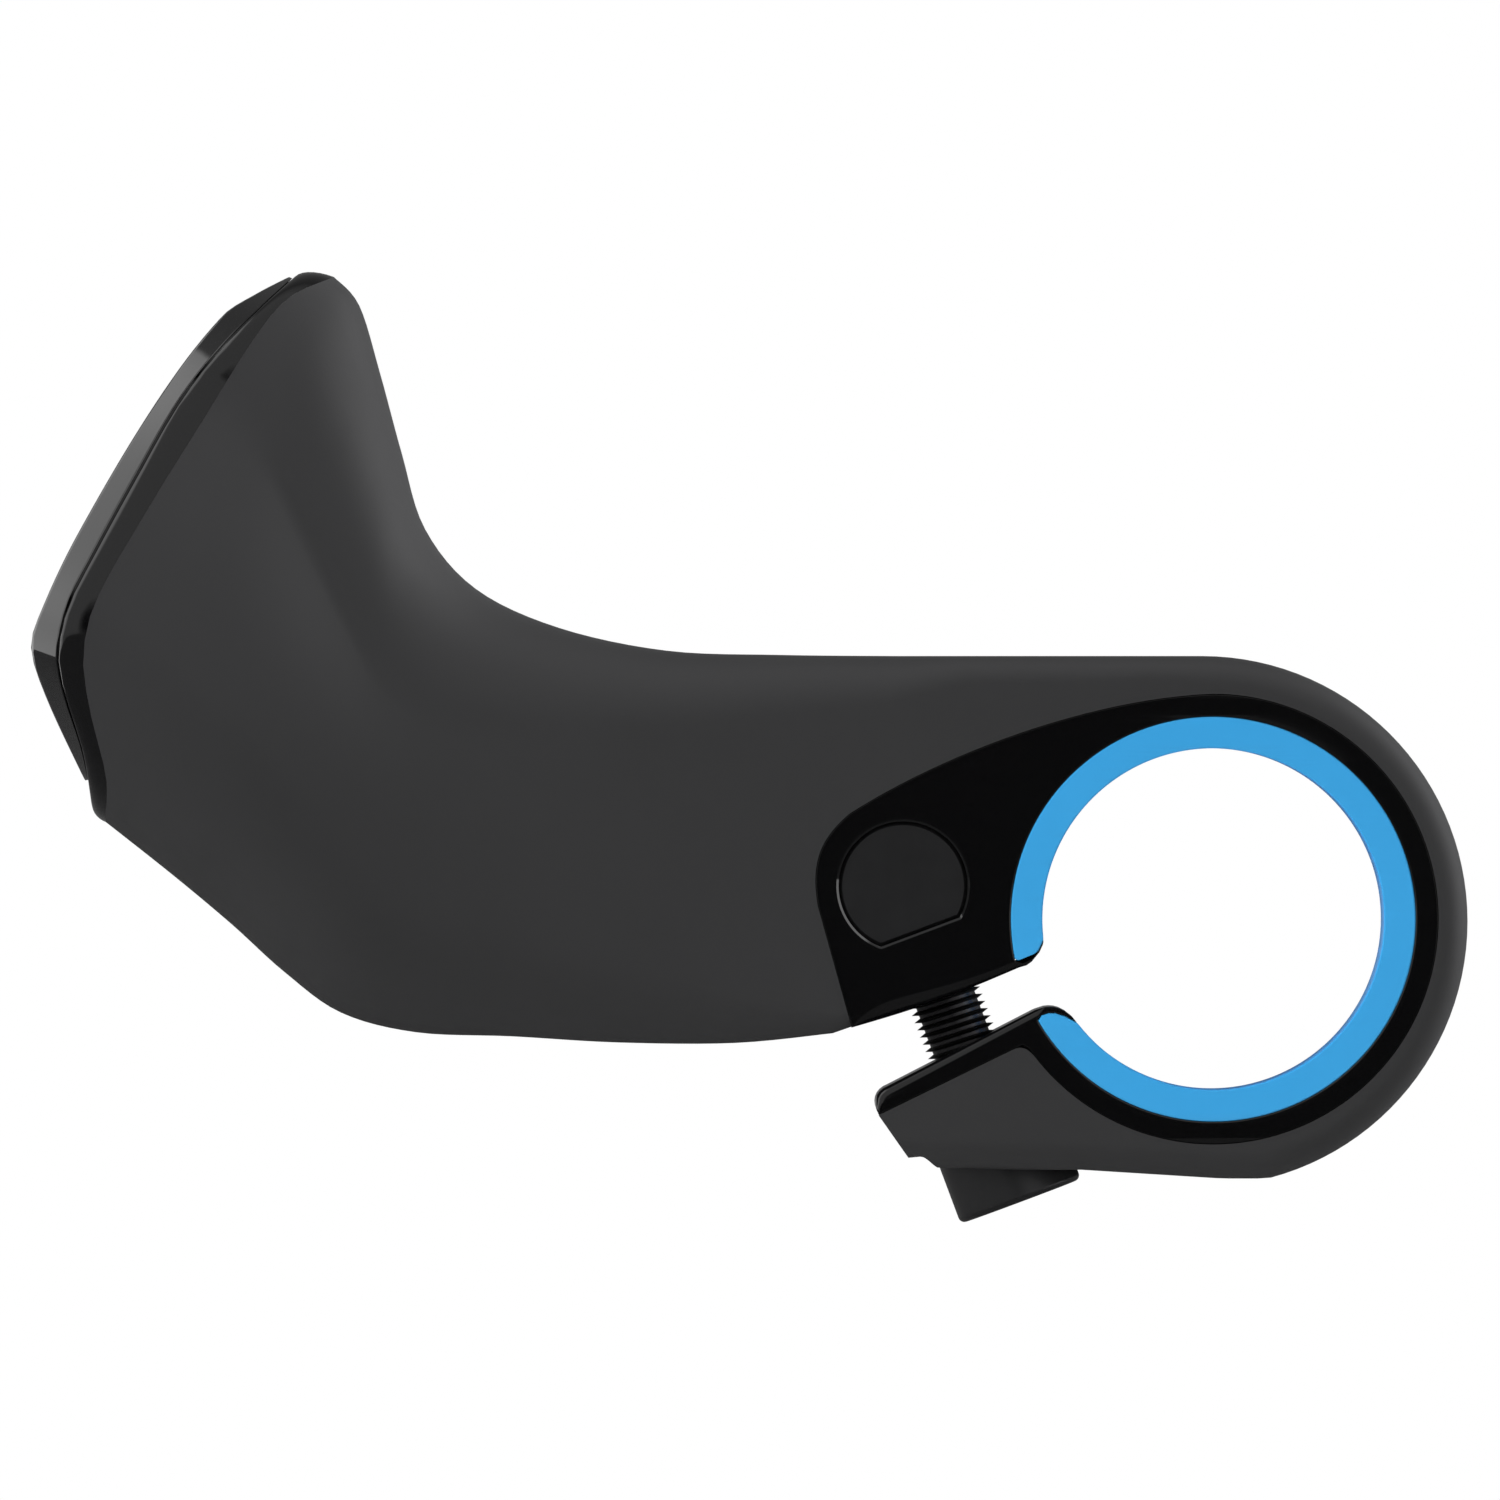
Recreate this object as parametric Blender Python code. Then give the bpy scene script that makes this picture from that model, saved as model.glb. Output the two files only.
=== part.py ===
"""Clamp-on bar end for a bicycle handlebar.

A hard glossy core clamps round the bar with a split ring and carries a short horn.
A soft skin covers the core. A cap closes the horn's front.
The origin is the centre of the handlebar bore, and +Y runs along the bar.
+Z is up and the horn points towards -X. The part is the same on both sides of Y = 0.
All sizes below are in millimetres.
"""
import math

import bmesh
import bpy
from mathutils import Vector

MM = 0.001

# Gap left between two pieces that seat on each other.
SEAT_GAP = 0.3

# Handlebar clamp, from the bar outward
BAR_RADIUS = 11.1
LINER_WALL = 1.9
LINER_OUTER = BAR_RADIUS + LINER_WALL
LINER_GAP = 0.15
CORE_BORE = LINER_OUTER + LINER_GAP
CORE_WALL = 1.5
CORE_RIM = CORE_BORE + CORE_WALL
RING_BAND = 2.45
RING_RADIUS = CORE_RIM + RING_BAND
# The ring's outside is a little off centre, so its band is thinner away from the arm.
RING_CENTRE = (-0.7, -0.15)
RING_OUTSIDE = RING_RADIUS - RING_CENTRE[1]
RING_LEFT = -RING_RADIUS
# Its underside is flattened, and rises a little from the lowest point towards the ear.
SOLE_LOWEST = (0.6, -RING_RADIUS + 0.23)
SOLE_RISE = 0.062
CLAMP_HALF_WIDTH = 8.0
PAD_HALF_WIDTH = CLAMP_HALF_WIDTH - 0.1
RING_EDGE_ROUND = 1.8
RING_STEP_DEG = 10

# The slit between the two clamp ears, seen from the side
SLIT_OUTER = 4.05
SLIT_DEG = (192.8, 208.5)
EAR_LENGTH = 4.5
LOWER_EAR_CORNER = (RING_LEFT - EAR_LENGTH, -RING_RADIUS + 6.0)
UPPER_EAR_CORNER = (RING_LEFT - EAR_LENGTH - 1.9, LOWER_EAR_CORNER[1] + SLIT_OUTER)
EAR_STRIP = 1.45
UPPER_EAR_BULGE = 0.25
TOE_LIP = 1.3
TOE_TIP_RADIUS = LINER_OUTER - TOE_LIP

# Soft skin over the core
SKIN_WALL = 1.8
CORE_INSET = SKIN_WALL + SEAT_GAP
CAVITY_WALL = 2.9
CAVITY_INSET = CORE_INSET + CAVITY_WALL

# Barrel nut across the upper ear
NUT_CENTRE = (RING_LEFT - 3.05, 2.15)
NUT_RADIUS = 4.2
NUT_FLAT = 3.2
NUT_HALF_LENGTH = PAD_HALF_WIDTH - 0.2
NUT_GAP = 0.15
NUT_CHAMFER = 0.25

# Clamp screw and washer. The screw leans from straight down.
# Places along it are distances from the nut's centre towards the head.
SCREW_LEAN_DEG = 20.5
THREAD_RADIUS = 2.45
THREAD_CLEARANCE = 0.05
SCREW_HOLE_RADIUS = THREAD_RADIUS + 0.35
SCREW_TIP = -NUT_FLAT - 0.2
SCREW_TIP_CHAMFER = 0.5
HEAD_RADIUS = 4.18
HEAD_HEIGHT = 5.0
HEAD_END = RING_RADIUS + 4.85
HEAD_SEAT = HEAD_END - HEAD_HEIGHT
HEX_ACROSS_FLATS = 4.0
HEX_DEPTH = 2.6
HEAD_EDGE_ROUND = 0.4
WASHER_RADIUS = HEAD_RADIUS + 0.3
WASHER_THICK = 0.9
WASHER_GAP = 0.05
POCKET_RADIUS = WASHER_RADIUS + 0.27
POCKET_FLOOR = HEAD_SEAT - WASHER_GAP - WASHER_THICK - WASHER_GAP
BLIND_DEPTH = NUT_RADIUS + 2.8

# The horn: how far its tip reaches left of the ring and rises above it, and its width
HORN_REACH = 40.1
HORN_RISE = 24.7
HORN_HALF_WIDTH = 12.8
CROWN = RING_RADIUS
FOOT_LEVEL = UPPER_EAR_CORNER[1]

# Front of the horn: the glossy rim round the skin's edge, and the cap in front of it
RIM_STEP = 0.45
CAP_BEVEL = 3.4
CAP_GAP = 0.2
CAP_EDGE = 0.15
PLUG_DEPTH = 3.5
MOUTH_INSET = 4.0
# How far each edge bows forward of its chord, as (place along the chord, distance).
SKIN_EDGE_BOW = (
    (0.0, 0.0), (0.07, 1.0), (0.16, 3.5), (0.24, 5.3), (0.33, 6.0),
    (0.5, 5.3), (0.67, 4.3), (0.86, 3.1), (0.94, 2.1), (1.0, 0.0),
)
RIM_EDGE_BOW = (
    (0.0, 0.0), (0.08, 1.7), (0.16, 4.0), (0.22, 5.3), (0.31, 5.9),
    (0.4, 5.6), (0.57, 4.8), (0.73, 3.9), (0.85, 2.5), (1.0, 0.0),
)
CAP_FACE_BOW = (
    (0.0, 0.0), (0.12, 4.5), (0.19, 6.5), (0.26, 6.8), (0.42, 6.4),
    (0.71, 4.8), (0.89, 3.0), (0.95, 1.5), (1.0, 0.0),
)

# Mesh fineness: steps per corner and per flank of a cross-section
BODY_STEPS = (5, 3)
CAP_STEPS = (7, 5)
KEY_STEPS = 2
ROUND_SEGMENTS = 32
RING_SEGMENTS = 60


def material(name, colour, roughness, metallic=0.0):
    """A plain Principled material."""
    mat = bpy.data.materials.new(name)
    mat.use_nodes = True
    shader = mat.node_tree.nodes["Principled BSDF"]
    shader.inputs["Base Color"].default_value = (*colour, 1.0)
    shader.inputs["Roughness"].default_value = roughness
    shader.inputs["Metallic"].default_value = metallic
    mat.diffuse_color = (*colour, 1.0)
    return mat


def mesh_object(name, verts, faces):
    """An object from points in millimetres, with its faces turned outward."""
    mesh = bpy.data.meshes.new(name)
    mesh.from_pydata([Vector(v) * MM for v in verts], [], faces)
    shape = bmesh.new()
    shape.from_mesh(mesh)
    bmesh.ops.recalc_face_normals(shape, faces=shape.faces)
    shape.to_mesh(mesh)
    shape.free()
    obj = bpy.data.objects.new(name, mesh)
    bpy.context.scene.collection.objects.link(obj)
    return obj


def combine(target, tool, operation):
    """Joins the tool to the target or cuts it away, then drops the tool."""
    step = target.modifiers.new("step", "BOOLEAN")
    step.operation = operation
    step.solver = "EXACT"
    step.object = tool
    bpy.context.view_layer.update()
    graph = bpy.context.evaluated_depsgraph_get()
    result = bpy.data.meshes.new_from_object(target.evaluated_get(graph))
    target.modifiers.clear()
    target.data = result
    bpy.data.objects.remove(tool)


def finish(obj, mat, smooth_angle=35.0):
    """Gives a piece its one material and smooth round faces with sharp edges."""
    obj.data.materials.clear()
    obj.data.materials.append(mat)
    obj.data.shade_smooth()
    obj.data.set_sharp_from_angle(angle=math.radians(smooth_angle))
    return obj


def arc(centre, radius, start_deg, end_deg, steps):
    """Points on a circle in the side view, both ends included."""
    points = []
    for i in range(steps + 1):
        angle = math.radians(start_deg + (end_deg - start_deg) * i / steps)
        points.append((centre[0] + radius * math.cos(angle), centre[1] + radius * math.sin(angle)))
    return points


def curve(p0, p1, p2, p3, steps):
    """Points on a cubic curve, the last one left out."""
    points = []
    for i in range(steps):
        t = i / steps
        a, b, c, d = (1 - t) ** 3, 3 * t * (1 - t) ** 2, 3 * t * t * (1 - t), t ** 3
        x = a * p0[0] + b * p1[0] + c * p2[0] + d * p3[0]
        z = a * p0[1] + b * p1[1] + c * p2[1] + d * p3[1]
        points.append((x, z))
    return points


def slab(name, outline, half_width):
    """A side-view outline given thickness along Y."""
    count = len(outline)
    verts = [(x, -half_width, z) for x, z in outline]
    verts += [(x, half_width, z) for x, z in outline]
    faces = [list(range(count)), list(range(2 * count - 1, count - 1, -1))]
    for i in range(count):
        j = (i + 1) % count
        faces.append([i, i + count, j + count, j])
    return mesh_object(name, verts, faces)


def turned(name, profile, segments=ROUND_SEGMENTS):
    """A round piece about its own Z axis from (radius, height) points, closed at both ends."""
    verts = []
    for radius, height in profile:
        for i in range(segments):
            angle = 2 * math.pi * i / segments
            verts.append((radius * math.cos(angle), radius * math.sin(angle), height))
    faces = [list(range(segments))]
    for row in range(len(profile) - 1):
        for i in range(segments):
            j = (i + 1) % segments
            a, b = row * segments, (row + 1) * segments
            faces.append([a + i, a + j, b + j, b + i])
    last = (len(profile) - 1) * segments
    faces.append([last + i for i in reversed(range(segments))])
    return mesh_object(name, verts, faces)


def put_on_screw_line(obj):
    """Stands a round piece on the clamp screw's line, its +Z towards the screw's head."""
    obj.location = Vector((NUT_CENTRE[0], 0.0, NUT_CENTRE[1])) * MM
    obj.rotation_euler = (0.0, math.radians(180.0 - SCREW_LEAN_DEG), 0.0)
    return obj


def section(top, foot, flare, top_round, foot_round, belly=0.0, bow=0.0):
    """One cross-section of the horn or arm, in shares of the horn's reach, rise and width.

    top and foot are (share of the reach, share of the rise), the top's rise counted from
    the ring's crown and the foot's from the upper ear's corner. flare is how far the top
    and the foot widen from the clamp's width to the horn's. A round is (share of the rise
    along the section, share of the half width). belly swells the flank, bow bends it forward.
    """
    top_point = (RING_LEFT - top[0] * HORN_REACH, CROWN + top[1] * HORN_RISE)
    foot_point = (RING_LEFT - foot[0] * HORN_REACH, FOOT_LEVEL + foot[1] * HORN_RISE)
    widening = HORN_HALF_WIDTH - CLAMP_HALF_WIDTH
    top_half = CLAMP_HALF_WIDTH + flare[0] * widening
    foot_half = CLAMP_HALF_WIDTH + flare[1] * widening
    top_edge = (top_round[0] * HORN_RISE, top_round[1] * top_half)
    foot_edge = (foot_round[0] * HORN_RISE, foot_round[1] * foot_half)
    return (*top_point, *foot_point, top_half, foot_half, *top_edge, *foot_edge, belly, bow, 1.0)


HORN_AND_ARM = (
    section((1.0, 1.0), (1.37, 0.54), (-0.21, 0.92), (0.405, 0.86), (0.486, 0.89), 0.9, 1.0),
    section((0.959, 0.925), (1.26, 0.399), (-0.08, 1.0), (0.425, 0.87), (0.486, 0.87), 0.9, 0.72),
    section((0.925, 0.745), (1.165, 0.27), (0.04, 0.96), (0.445, 0.88), (0.486, 0.86), 0.8, 0.46),
    section((0.89, 0.535), (1.08, 0.145), (0.15, 0.79), (0.445, 0.87), (0.445, 0.85), 0.7, 0.24),
    section((0.852, 0.335), (0.988, 0.038), (0.21, 0.58), (0.425, 0.87), (0.385, 0.81), 0.5, 0.08),
    section((0.77, 0.178), (0.866, -0.0135), (0.17, 0.35), (0.364, 0.77), (0.324, 0.72), 0.3),
    section((0.635, 0.075), (0.71, -0.024), (0.08, 0.19), (0.283, 0.64), (0.263, 0.58), 0.2),
    section((0.46, 0.0145), (0.537, -0.04), (0.02, 0.06), (0.21, 0.52), (0.194, 0.46), 0.1),
    section((0.274, 0.003), (0.348, -0.041), (0.0, 0.0), (0.162, 0.42), (0.13, 0.35)),
    section((0.087, 0.0), (0.19, -0.015), (0.0, 0.0), (0.13, 0.36), (0.049, 0.15)),
)
SKIN_FRONT = HORN_AND_ARM[0]


def front_section(foot, narrower):
    """The rim's and cap's cross-section, narrower than the skin's front by this much."""
    row = section((1.065, 1.0), foot, (-0.21, 0.92), (0.364, 0.86), (0.425, 0.89), 0.9, 1.0)
    halves = (row[4] - narrower, row[5] - narrower)
    across = (row[7] - narrower, row[9] - narrower)
    return (*row[:4], *halves, row[6], across[0], row[8], across[1], *row[10:])


RIM_FRONT = front_section((1.391, 0.595), RIM_STEP)
CAP_BACK = front_section((1.396, 0.645), RIM_STEP)
CAP_FACE = front_section((1.396, 0.645), RIM_STEP + CAP_BEVEL)


def between(keys, steps):
    """Smooth cross-sections through the given ones."""
    out = []
    for i in range(len(keys) - 1):
        before, start = keys[max(i - 1, 0)], keys[i]
        end, after = keys[i + 1], keys[min(i + 2, len(keys) - 1)]
        for k in range(steps):
            t = k / steps
            row = []
            for a, b, c, d in zip(before, start, end, after):
                slope_b, slope_c = (c - a) / 2, (d - b) / 2
                row.append(
                    b * (2 * t ** 3 - 3 * t ** 2 + 1) + c * (3 * t ** 2 - 2 * t ** 3)
                    + slope_b * (t ** 3 - 2 * t ** 2 + t) + slope_c * (t ** 3 - t ** 2)
                )
            out.append(tuple(row))
    out.append(keys[-1])
    return out


def clamp_section(top, foot):
    """A flat-sided cross-section of the clamp, rounded only along its outer edge."""
    half = (CLAMP_HALF_WIDTH, CLAMP_HALF_WIDTH)
    edges = (RING_EDGE_ROUND, RING_EDGE_ROUND, 0.4, 0.4)
    return (*top, *foot, *half, *edges, 0.0, 0.0, 0.0)


def ring_point(radius, angle_deg, centre=(0.0, 0.0)):
    """A side-view point this far round the bar's circle."""
    angle = math.radians(angle_deg)
    return (centre[0] + radius * math.cos(angle), centre[1] + radius * math.sin(angle))


UPPER_EAR_TOE = ring_point(LINER_OUTER, SLIT_DEG[0] + 1.2)
LOWER_EAR_TOE = ring_point(LINER_OUTER, SLIT_DEG[1] - 1.5)


def underside(x):
    """Level of the ring's flattened underside at this x."""
    return SOLE_LOWEST[1] + SOLE_RISE * max(SOLE_LOWEST[0] - x, 0.0)


def clamp_sections():
    """From the upper ear over the top of the ring and round to its underside."""
    inner = LINER_OUTER - 1.0
    middle = (
        (2 * UPPER_EAR_CORNER[0] + 3 * UPPER_EAR_TOE[0]) / 5,
        (2 * UPPER_EAR_CORNER[1] + 3 * UPPER_EAR_TOE[1]) / 5,
    )
    out = [
        clamp_section((RING_LEFT + 1.0, CROWN), middle),
        clamp_section((RING_LEFT + 5.0, CROWN), UPPER_EAR_TOE),
    ]
    for top_share, angle in ((0.53, 180.0), (0.36, 158.0), (0.2, 132.0), (0.08, 108.0)):
        out.append(clamp_section((RING_LEFT * top_share, CROWN), ring_point(inner, angle)))
    for angle in range(90, -106, -RING_STEP_DEG):
        x, z = ring_point(RING_OUTSIDE, angle, RING_CENTRE)
        out.append(clamp_section((x, max(z, underside(x))), ring_point(inner, angle)))
    return out


def lower_ear_sections():
    """The lower clamp ear, from the ring out to its free end."""
    sole = -RING_RADIUS + 0.9
    left, top = LOWER_EAR_CORNER
    toe_x, toe_z = LOWER_EAR_TOE
    return [
        clamp_section((0.5 * RING_LEFT, sole - 0.1), ring_point(LINER_OUTER - 1.0, 226.0)),
        clamp_section((toe_x - 0.8, sole - 0.1), (toe_x + 0.1, toe_z - 0.2)),
        clamp_section((toe_x - 4.4, sole), (toe_x - 4.2, 0.6 * toe_z + 0.4 * top)),
        clamp_section((left + 3.2, sole + 0.05), (left + 1.2, top + 0.55)),
        clamp_section((left + 1.85, sole + 0.6), (left - 0.4, top - 1.0)),
    ]


def bow_at(profile, place):
    """How far an edge bows forward at this place along its chord, as a smooth curve."""
    place = min(max(place, 0.0), 1.0)
    last = len(profile) - 1
    i = 0
    while i < last - 1 and place > profile[i + 1][0]:
        i += 1
    slopes = []
    for k in (i, i + 1):
        low, high = profile[max(k - 1, 0)], profile[min(k + 1, last)]
        slopes.append((high[1] - low[1]) / (high[0] - low[0]))
    (x0, y0), (x1, y1) = profile[i], profile[i + 1]
    width = x1 - x0
    t = (place - x0) / width
    rise = y0 * (2 * t ** 3 - 3 * t ** 2 + 1) + y1 * (3 * t ** 2 - 2 * t ** 3)
    turn = slopes[0] * (t ** 3 - 2 * t ** 2 + t) + slopes[1] * (t ** 3 - t ** 2)
    return rise + turn * width


def rungs(row, inset=0.0, profile=SKIN_EDGE_BOW, foot_inset=None, steps=BODY_STEPS):
    """Points down one side of a cross-section, from its foot to its top."""
    top, foot = Vector(row[0:2]), Vector(row[2:4])
    top_half, foot_half, top_along, top_across = row[4:8]
    foot_along, foot_across, belly, bow, cover = row[8:13]
    length = (top - foot).length
    along = (top - foot) / length
    forward = Vector((-along.y, along.x))
    start = inset * cover if foot_inset is None else foot_inset
    end = length - inset
    low, high = foot_half - inset, top_half - inset
    foot_along, foot_across = max(foot_along - 0.8 * inset, 0.4), max(foot_across - inset, 0.4)
    top_along, top_across = max(top_along - 0.8 * inset, 0.4), max(top_across - inset, 0.4)
    corner_steps, flank_steps = steps
    points = []
    for i in range(corner_steps + 1):
        angle = math.pi / 2 * i / corner_steps
        place = start + foot_along * (1 - math.cos(angle))
        points.append((place, low - foot_across * (1 - math.sin(angle))))
    side_start, side_end = start + foot_along, end - top_along
    for i in range(1, flank_steps + 1):
        t = i / (flank_steps + 1)
        swell = belly * math.sin(math.pi * t)
        points.append((side_start + (side_end - side_start) * t, low + (high - low) * t + swell))
    for i in range(corner_steps, -1, -1):
        angle = math.pi / 2 * i / corner_steps
        place = end - top_along * (1 - math.cos(angle))
        points.append((place, high - top_across * (1 - math.sin(angle))))
    out = []
    for place, half in points:
        spot = foot + along * place + forward * (bow * bow_at(profile, place / length))
        out.append(Vector((spot.x, half, spot.y)))
    return out


def loft(name, sides):
    """A closed body through cross-sections, each given by the points down its +Y side."""
    height = len(sides[0])
    ring = 2 * height
    verts = []
    for side in sides:
        verts += [tuple(p) for p in side]
        verts += [(p.x, -p.y, p.z) for p in reversed(side)]
    faces = []
    for row in range(len(sides) - 1):
        a, b = row * ring, (row + 1) * ring
        for i in range(ring):
            j = (i + 1) % ring
            faces.append([a + i, a + j, b + j, b + i])
    last = (len(sides) - 1) * ring
    for i in range(height - 1):
        faces.append([i, i + 1, ring - 2 - i, ring - 1 - i])
        faces.append([last + i, last + ring - 1 - i, last + ring - 2 - i, last + i + 1])
    return mesh_object(name, verts, faces)


def moved(side, distance):
    """A cross-section's points moved straight forward off the horn."""
    along = Vector(RIM_FRONT[0:2]) - Vector(RIM_FRONT[2:4])
    forward = Vector((-along.y, 0.0, along.x)).normalized()
    return [p + forward * distance for p in side]


def pad_outer_edge(grow=0.0):
    """Edge of the glossy side face, from the upper ear round the ring to the lower ear."""
    nut_x, nut_z = NUT_CENTRE
    low = (UPPER_EAR_CORNER[0] - grow, UPPER_EAR_CORNER[1])
    left = (nut_x - NUT_RADIUS - 1.35 - grow, nut_z - 1.3)
    shoulder = (nut_x - 3.5 - 0.6 * grow, nut_z + 4.7 + 0.8 * grow)
    crown = (0.0, CORE_RIM + grow)
    points = [low]
    points += curve(left, (left[0] - 0.5, left[1] + 2.9), (left[0] + 0.2, left[1] + 4.4), shoulder, 5)
    middle_x = (2 * shoulder[0] + crown[0]) / 3
    points += curve(shoulder, (middle_x - 1.8, nut_z + 8.6 + grow), (-8.0, crown[1] - 0.3), crown, 8)
    points += arc((0.0, 0.0), CORE_RIM + grow, 90, SLIT_DEG[1] + 6.5 - 360.0, 36)
    return points


def ear_strip_edge(grow=0.0, reach=0.0):
    """Lower edge of the glossy strip along the lower ear, out to the ear's free end."""
    drop = EAR_STRIP + grow
    left, top = LOWER_EAR_CORNER
    slope = (LOWER_EAR_TOE[1] - top) / (LOWER_EAR_TOE[0] - left)
    start_x = LOWER_EAR_TOE[0] - 1.4
    end_x = left - 0.3 - reach
    return [
        (start_x + 0.6, top + slope * (start_x - left) - drop - 0.1),
        (start_x, top + slope * (start_x - left) - drop),
        (end_x, top + slope * (end_x - left) - drop),
    ]


def core_pad_outline():
    """The whole glossy side face: split ring, both ears and the toes beside the slit."""
    left, top = LOWER_EAR_CORNER
    points = pad_outer_edge()
    points += ear_strip_edge()
    points += [(left - 0.45, top - 0.8), (left - 0.3, top - 0.25), (left + 0.2, top + 0.1), LOWER_EAR_TOE]
    points += arc((0.0, 0.0), TOE_TIP_RADIUS, SLIT_DEG[1], SLIT_DEG[1] + 2.5, 2)
    points += arc((0.0, 0.0), CORE_BORE, SLIT_DEG[1] + 3.5, SLIT_DEG[0] - 3.5 + 360, RING_SEGMENTS)
    points += arc((0.0, 0.0), TOE_TIP_RADIUS, SLIT_DEG[0] - 2.5, SLIT_DEG[0], 2)
    points.append(UPPER_EAR_TOE)
    middle_x = (2 * UPPER_EAR_CORNER[0] + UPPER_EAR_TOE[0]) / 3
    middle_z = (2 * UPPER_EAR_CORNER[1] + UPPER_EAR_TOE[1]) / 3
    points.append((middle_x, middle_z - UPPER_EAR_BULGE))
    return points


def skin_window_outline():
    """What the skin leaves open at the clamp: the glossy face, the bore and the slit."""
    points = [(UPPER_EAR_CORNER[0] + 0.1, UPPER_EAR_CORNER[1] - 2.0)]
    points += pad_outer_edge(SEAT_GAP)
    points += ear_strip_edge(SEAT_GAP, reach=4.0)
    points.append((UPPER_EAR_CORNER[0] - 3.5, UPPER_EAR_CORNER[1] - SLIT_OUTER))
    return points


def make_skin(mat):
    """Soft overmoulded skin: the body's outer form, hollow for the core."""
    horn = between(HORN_AND_ARM, KEY_STEPS)
    outside = [rungs(row) for row in horn + clamp_sections() + lower_ear_sections()]
    skin = loft("grip_skin", outside)
    inside = [rungs(row, SKIN_WALL) for row in between(HORN_AND_ARM, 1)]
    inside.insert(0, moved(inside[0], 6.0))
    combine(skin, loft("inside", inside), "DIFFERENCE")
    combine(skin, slab("window", skin_window_outline(), 2 * HORN_HALF_WIDTH), "DIFFERENCE")
    combine(skin, loft("ear_inside", ear_block(SKIN_WALL, 0.2)), "DIFFERENCE")
    combine(skin, pocket_tool(), "DIFFERENCE")
    return finish(skin, mat)


def ear_block(inset, foot_inset):
    """Cross-sections of the lower ear's hard inside, drawn back from its skin."""
    left, top = LOWER_EAR_CORNER
    end = clamp_section((left + 1.85 + inset, -RING_RADIUS + 1.2), (left - 0.4 + inset, top + 0.8))
    rows = clamp_sections()[-1:] + lower_ear_sections()[:3] + [end]
    return [rungs(row, inset, foot_inset=foot_inset) for row in rows]


def make_core(mat):
    """Hard moulded core: hollow horn with a front rim, split clamp ring and two ears."""
    horn = between(HORN_AND_ARM, 1)
    sides = [rungs(row, CORE_INSET) for row in horn]
    core = loft("clamp_core", [moved(sides[0], RIM_STEP)] + sides)
    rim = [rungs(RIM_FRONT, profile=RIM_EDGE_BOW), moved(rungs(SKIN_FRONT), SEAT_GAP / 2)]
    combine(core, loft("rim", rim), "UNION")
    combine(core, slab("pads", core_pad_outline(), PAD_HALF_WIDTH), "UNION")
    ear = loft("ear", ear_block(CORE_INSET, 0.6))
    bore = arc((0.0, 0.0), CORE_BORE + CORE_WALL / 3, 0.0, 360.0, RING_SEGMENTS)[:-1]
    combine(ear, slab("bore", bore, 2 * CLAMP_HALF_WIDTH), "DIFFERENCE")
    combine(core, ear, "UNION")
    combine(core, cavity_tool(), "DIFFERENCE")
    combine(core, nut_shape("nut_hole", NUT_GAP, 1.5 * PAD_HALF_WIDTH), "DIFFERENCE")
    combine(core, screw_hole_tool(), "DIFFERENCE")
    combine(core, pocket_tool(), "DIFFERENCE")
    return finish(core, mat)


def cavity_tool():
    """The space inside the horn that the front cap closes."""
    front = rungs(RIM_FRONT, MOUTH_INSET, RIM_EDGE_BOW)
    sides = [moved(front, 4.0), moved(front, -PLUG_DEPTH - SEAT_GAP)]
    sides += [rungs(row, CAVITY_INSET) for row in HORN_AND_ARM[2:6]]
    return loft("cavity", sides)


def screw_hole_tool():
    """Clearance hole for the clamp screw, blind above the nut."""
    profile = ((SCREW_HOLE_RADIUS, -BLIND_DEPTH), (SCREW_HOLE_RADIUS, HEAD_SEAT))
    return put_on_screw_line(turned("screw_hole", profile))


def pocket_tool():
    """The round pocket in the lower ear that the screw's head sinks into."""
    profile = ((POCKET_RADIUS, POCKET_FLOOR), (POCKET_RADIUS, HEAD_END + 8.0))
    return put_on_screw_line(turned("pocket", profile))


def nut_outline(grow):
    """Round with one flat that faces the screw's head."""
    flat = NUT_FLAT + grow
    radius = NUT_RADIUS + grow
    spread = math.degrees(math.acos(flat / radius))
    facing = -90.0 + SCREW_LEAN_DEG
    return arc(NUT_CENTRE, radius, facing + spread, facing - spread + 360.0, ROUND_SEGMENTS)


def nut_shape(name, grow, half_length):
    return slab(name, nut_outline(grow), half_length)


def make_nut(mat):
    """Steel barrel nut across the upper ear, cross-drilled and threaded for the screw."""
    nut = nut_shape("barrel_nut", 0.0, NUT_HALF_LENGTH)
    edge = nut.modifiers.new("edge", "BEVEL")
    edge.width = NUT_CHAMFER * MM
    edge.segments = 1
    edge.limit_method = "ANGLE"
    edge.angle_limit = math.radians(60)
    radius, reach = THREAD_RADIUS + THREAD_CLEARANCE, 2 * NUT_RADIUS
    hole = ((radius, -reach), (radius, reach))
    combine(nut, put_on_screw_line(turned("thread_hole", hole)), "DIFFERENCE")
    return finish(nut, mat)


def make_screw(mat):
    """Socket-head clamp screw."""
    rim = HEAD_EDGE_ROUND
    profile = (
        (THREAD_RADIUS - SCREW_TIP_CHAMFER, SCREW_TIP),
        (THREAD_RADIUS, SCREW_TIP + SCREW_TIP_CHAMFER),
        (THREAD_RADIUS, HEAD_SEAT),
        (HEAD_RADIUS, HEAD_SEAT),
        (HEAD_RADIUS, HEAD_END - rim),
        (HEAD_RADIUS - 0.3 * rim, HEAD_END - 0.3 * rim),
        (HEAD_RADIUS - rim, HEAD_END),
    )
    screw = turned("clamp_screw", profile)
    corner = HEX_ACROSS_FLATS / 2 / math.cos(math.radians(30))
    socket = turned("socket", ((corner, HEAD_END - HEX_DEPTH), (corner, HEAD_END + 1.0)), 6)
    combine(screw, socket, "DIFFERENCE")
    put_on_screw_line(screw)
    return finish(screw, mat)


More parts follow.
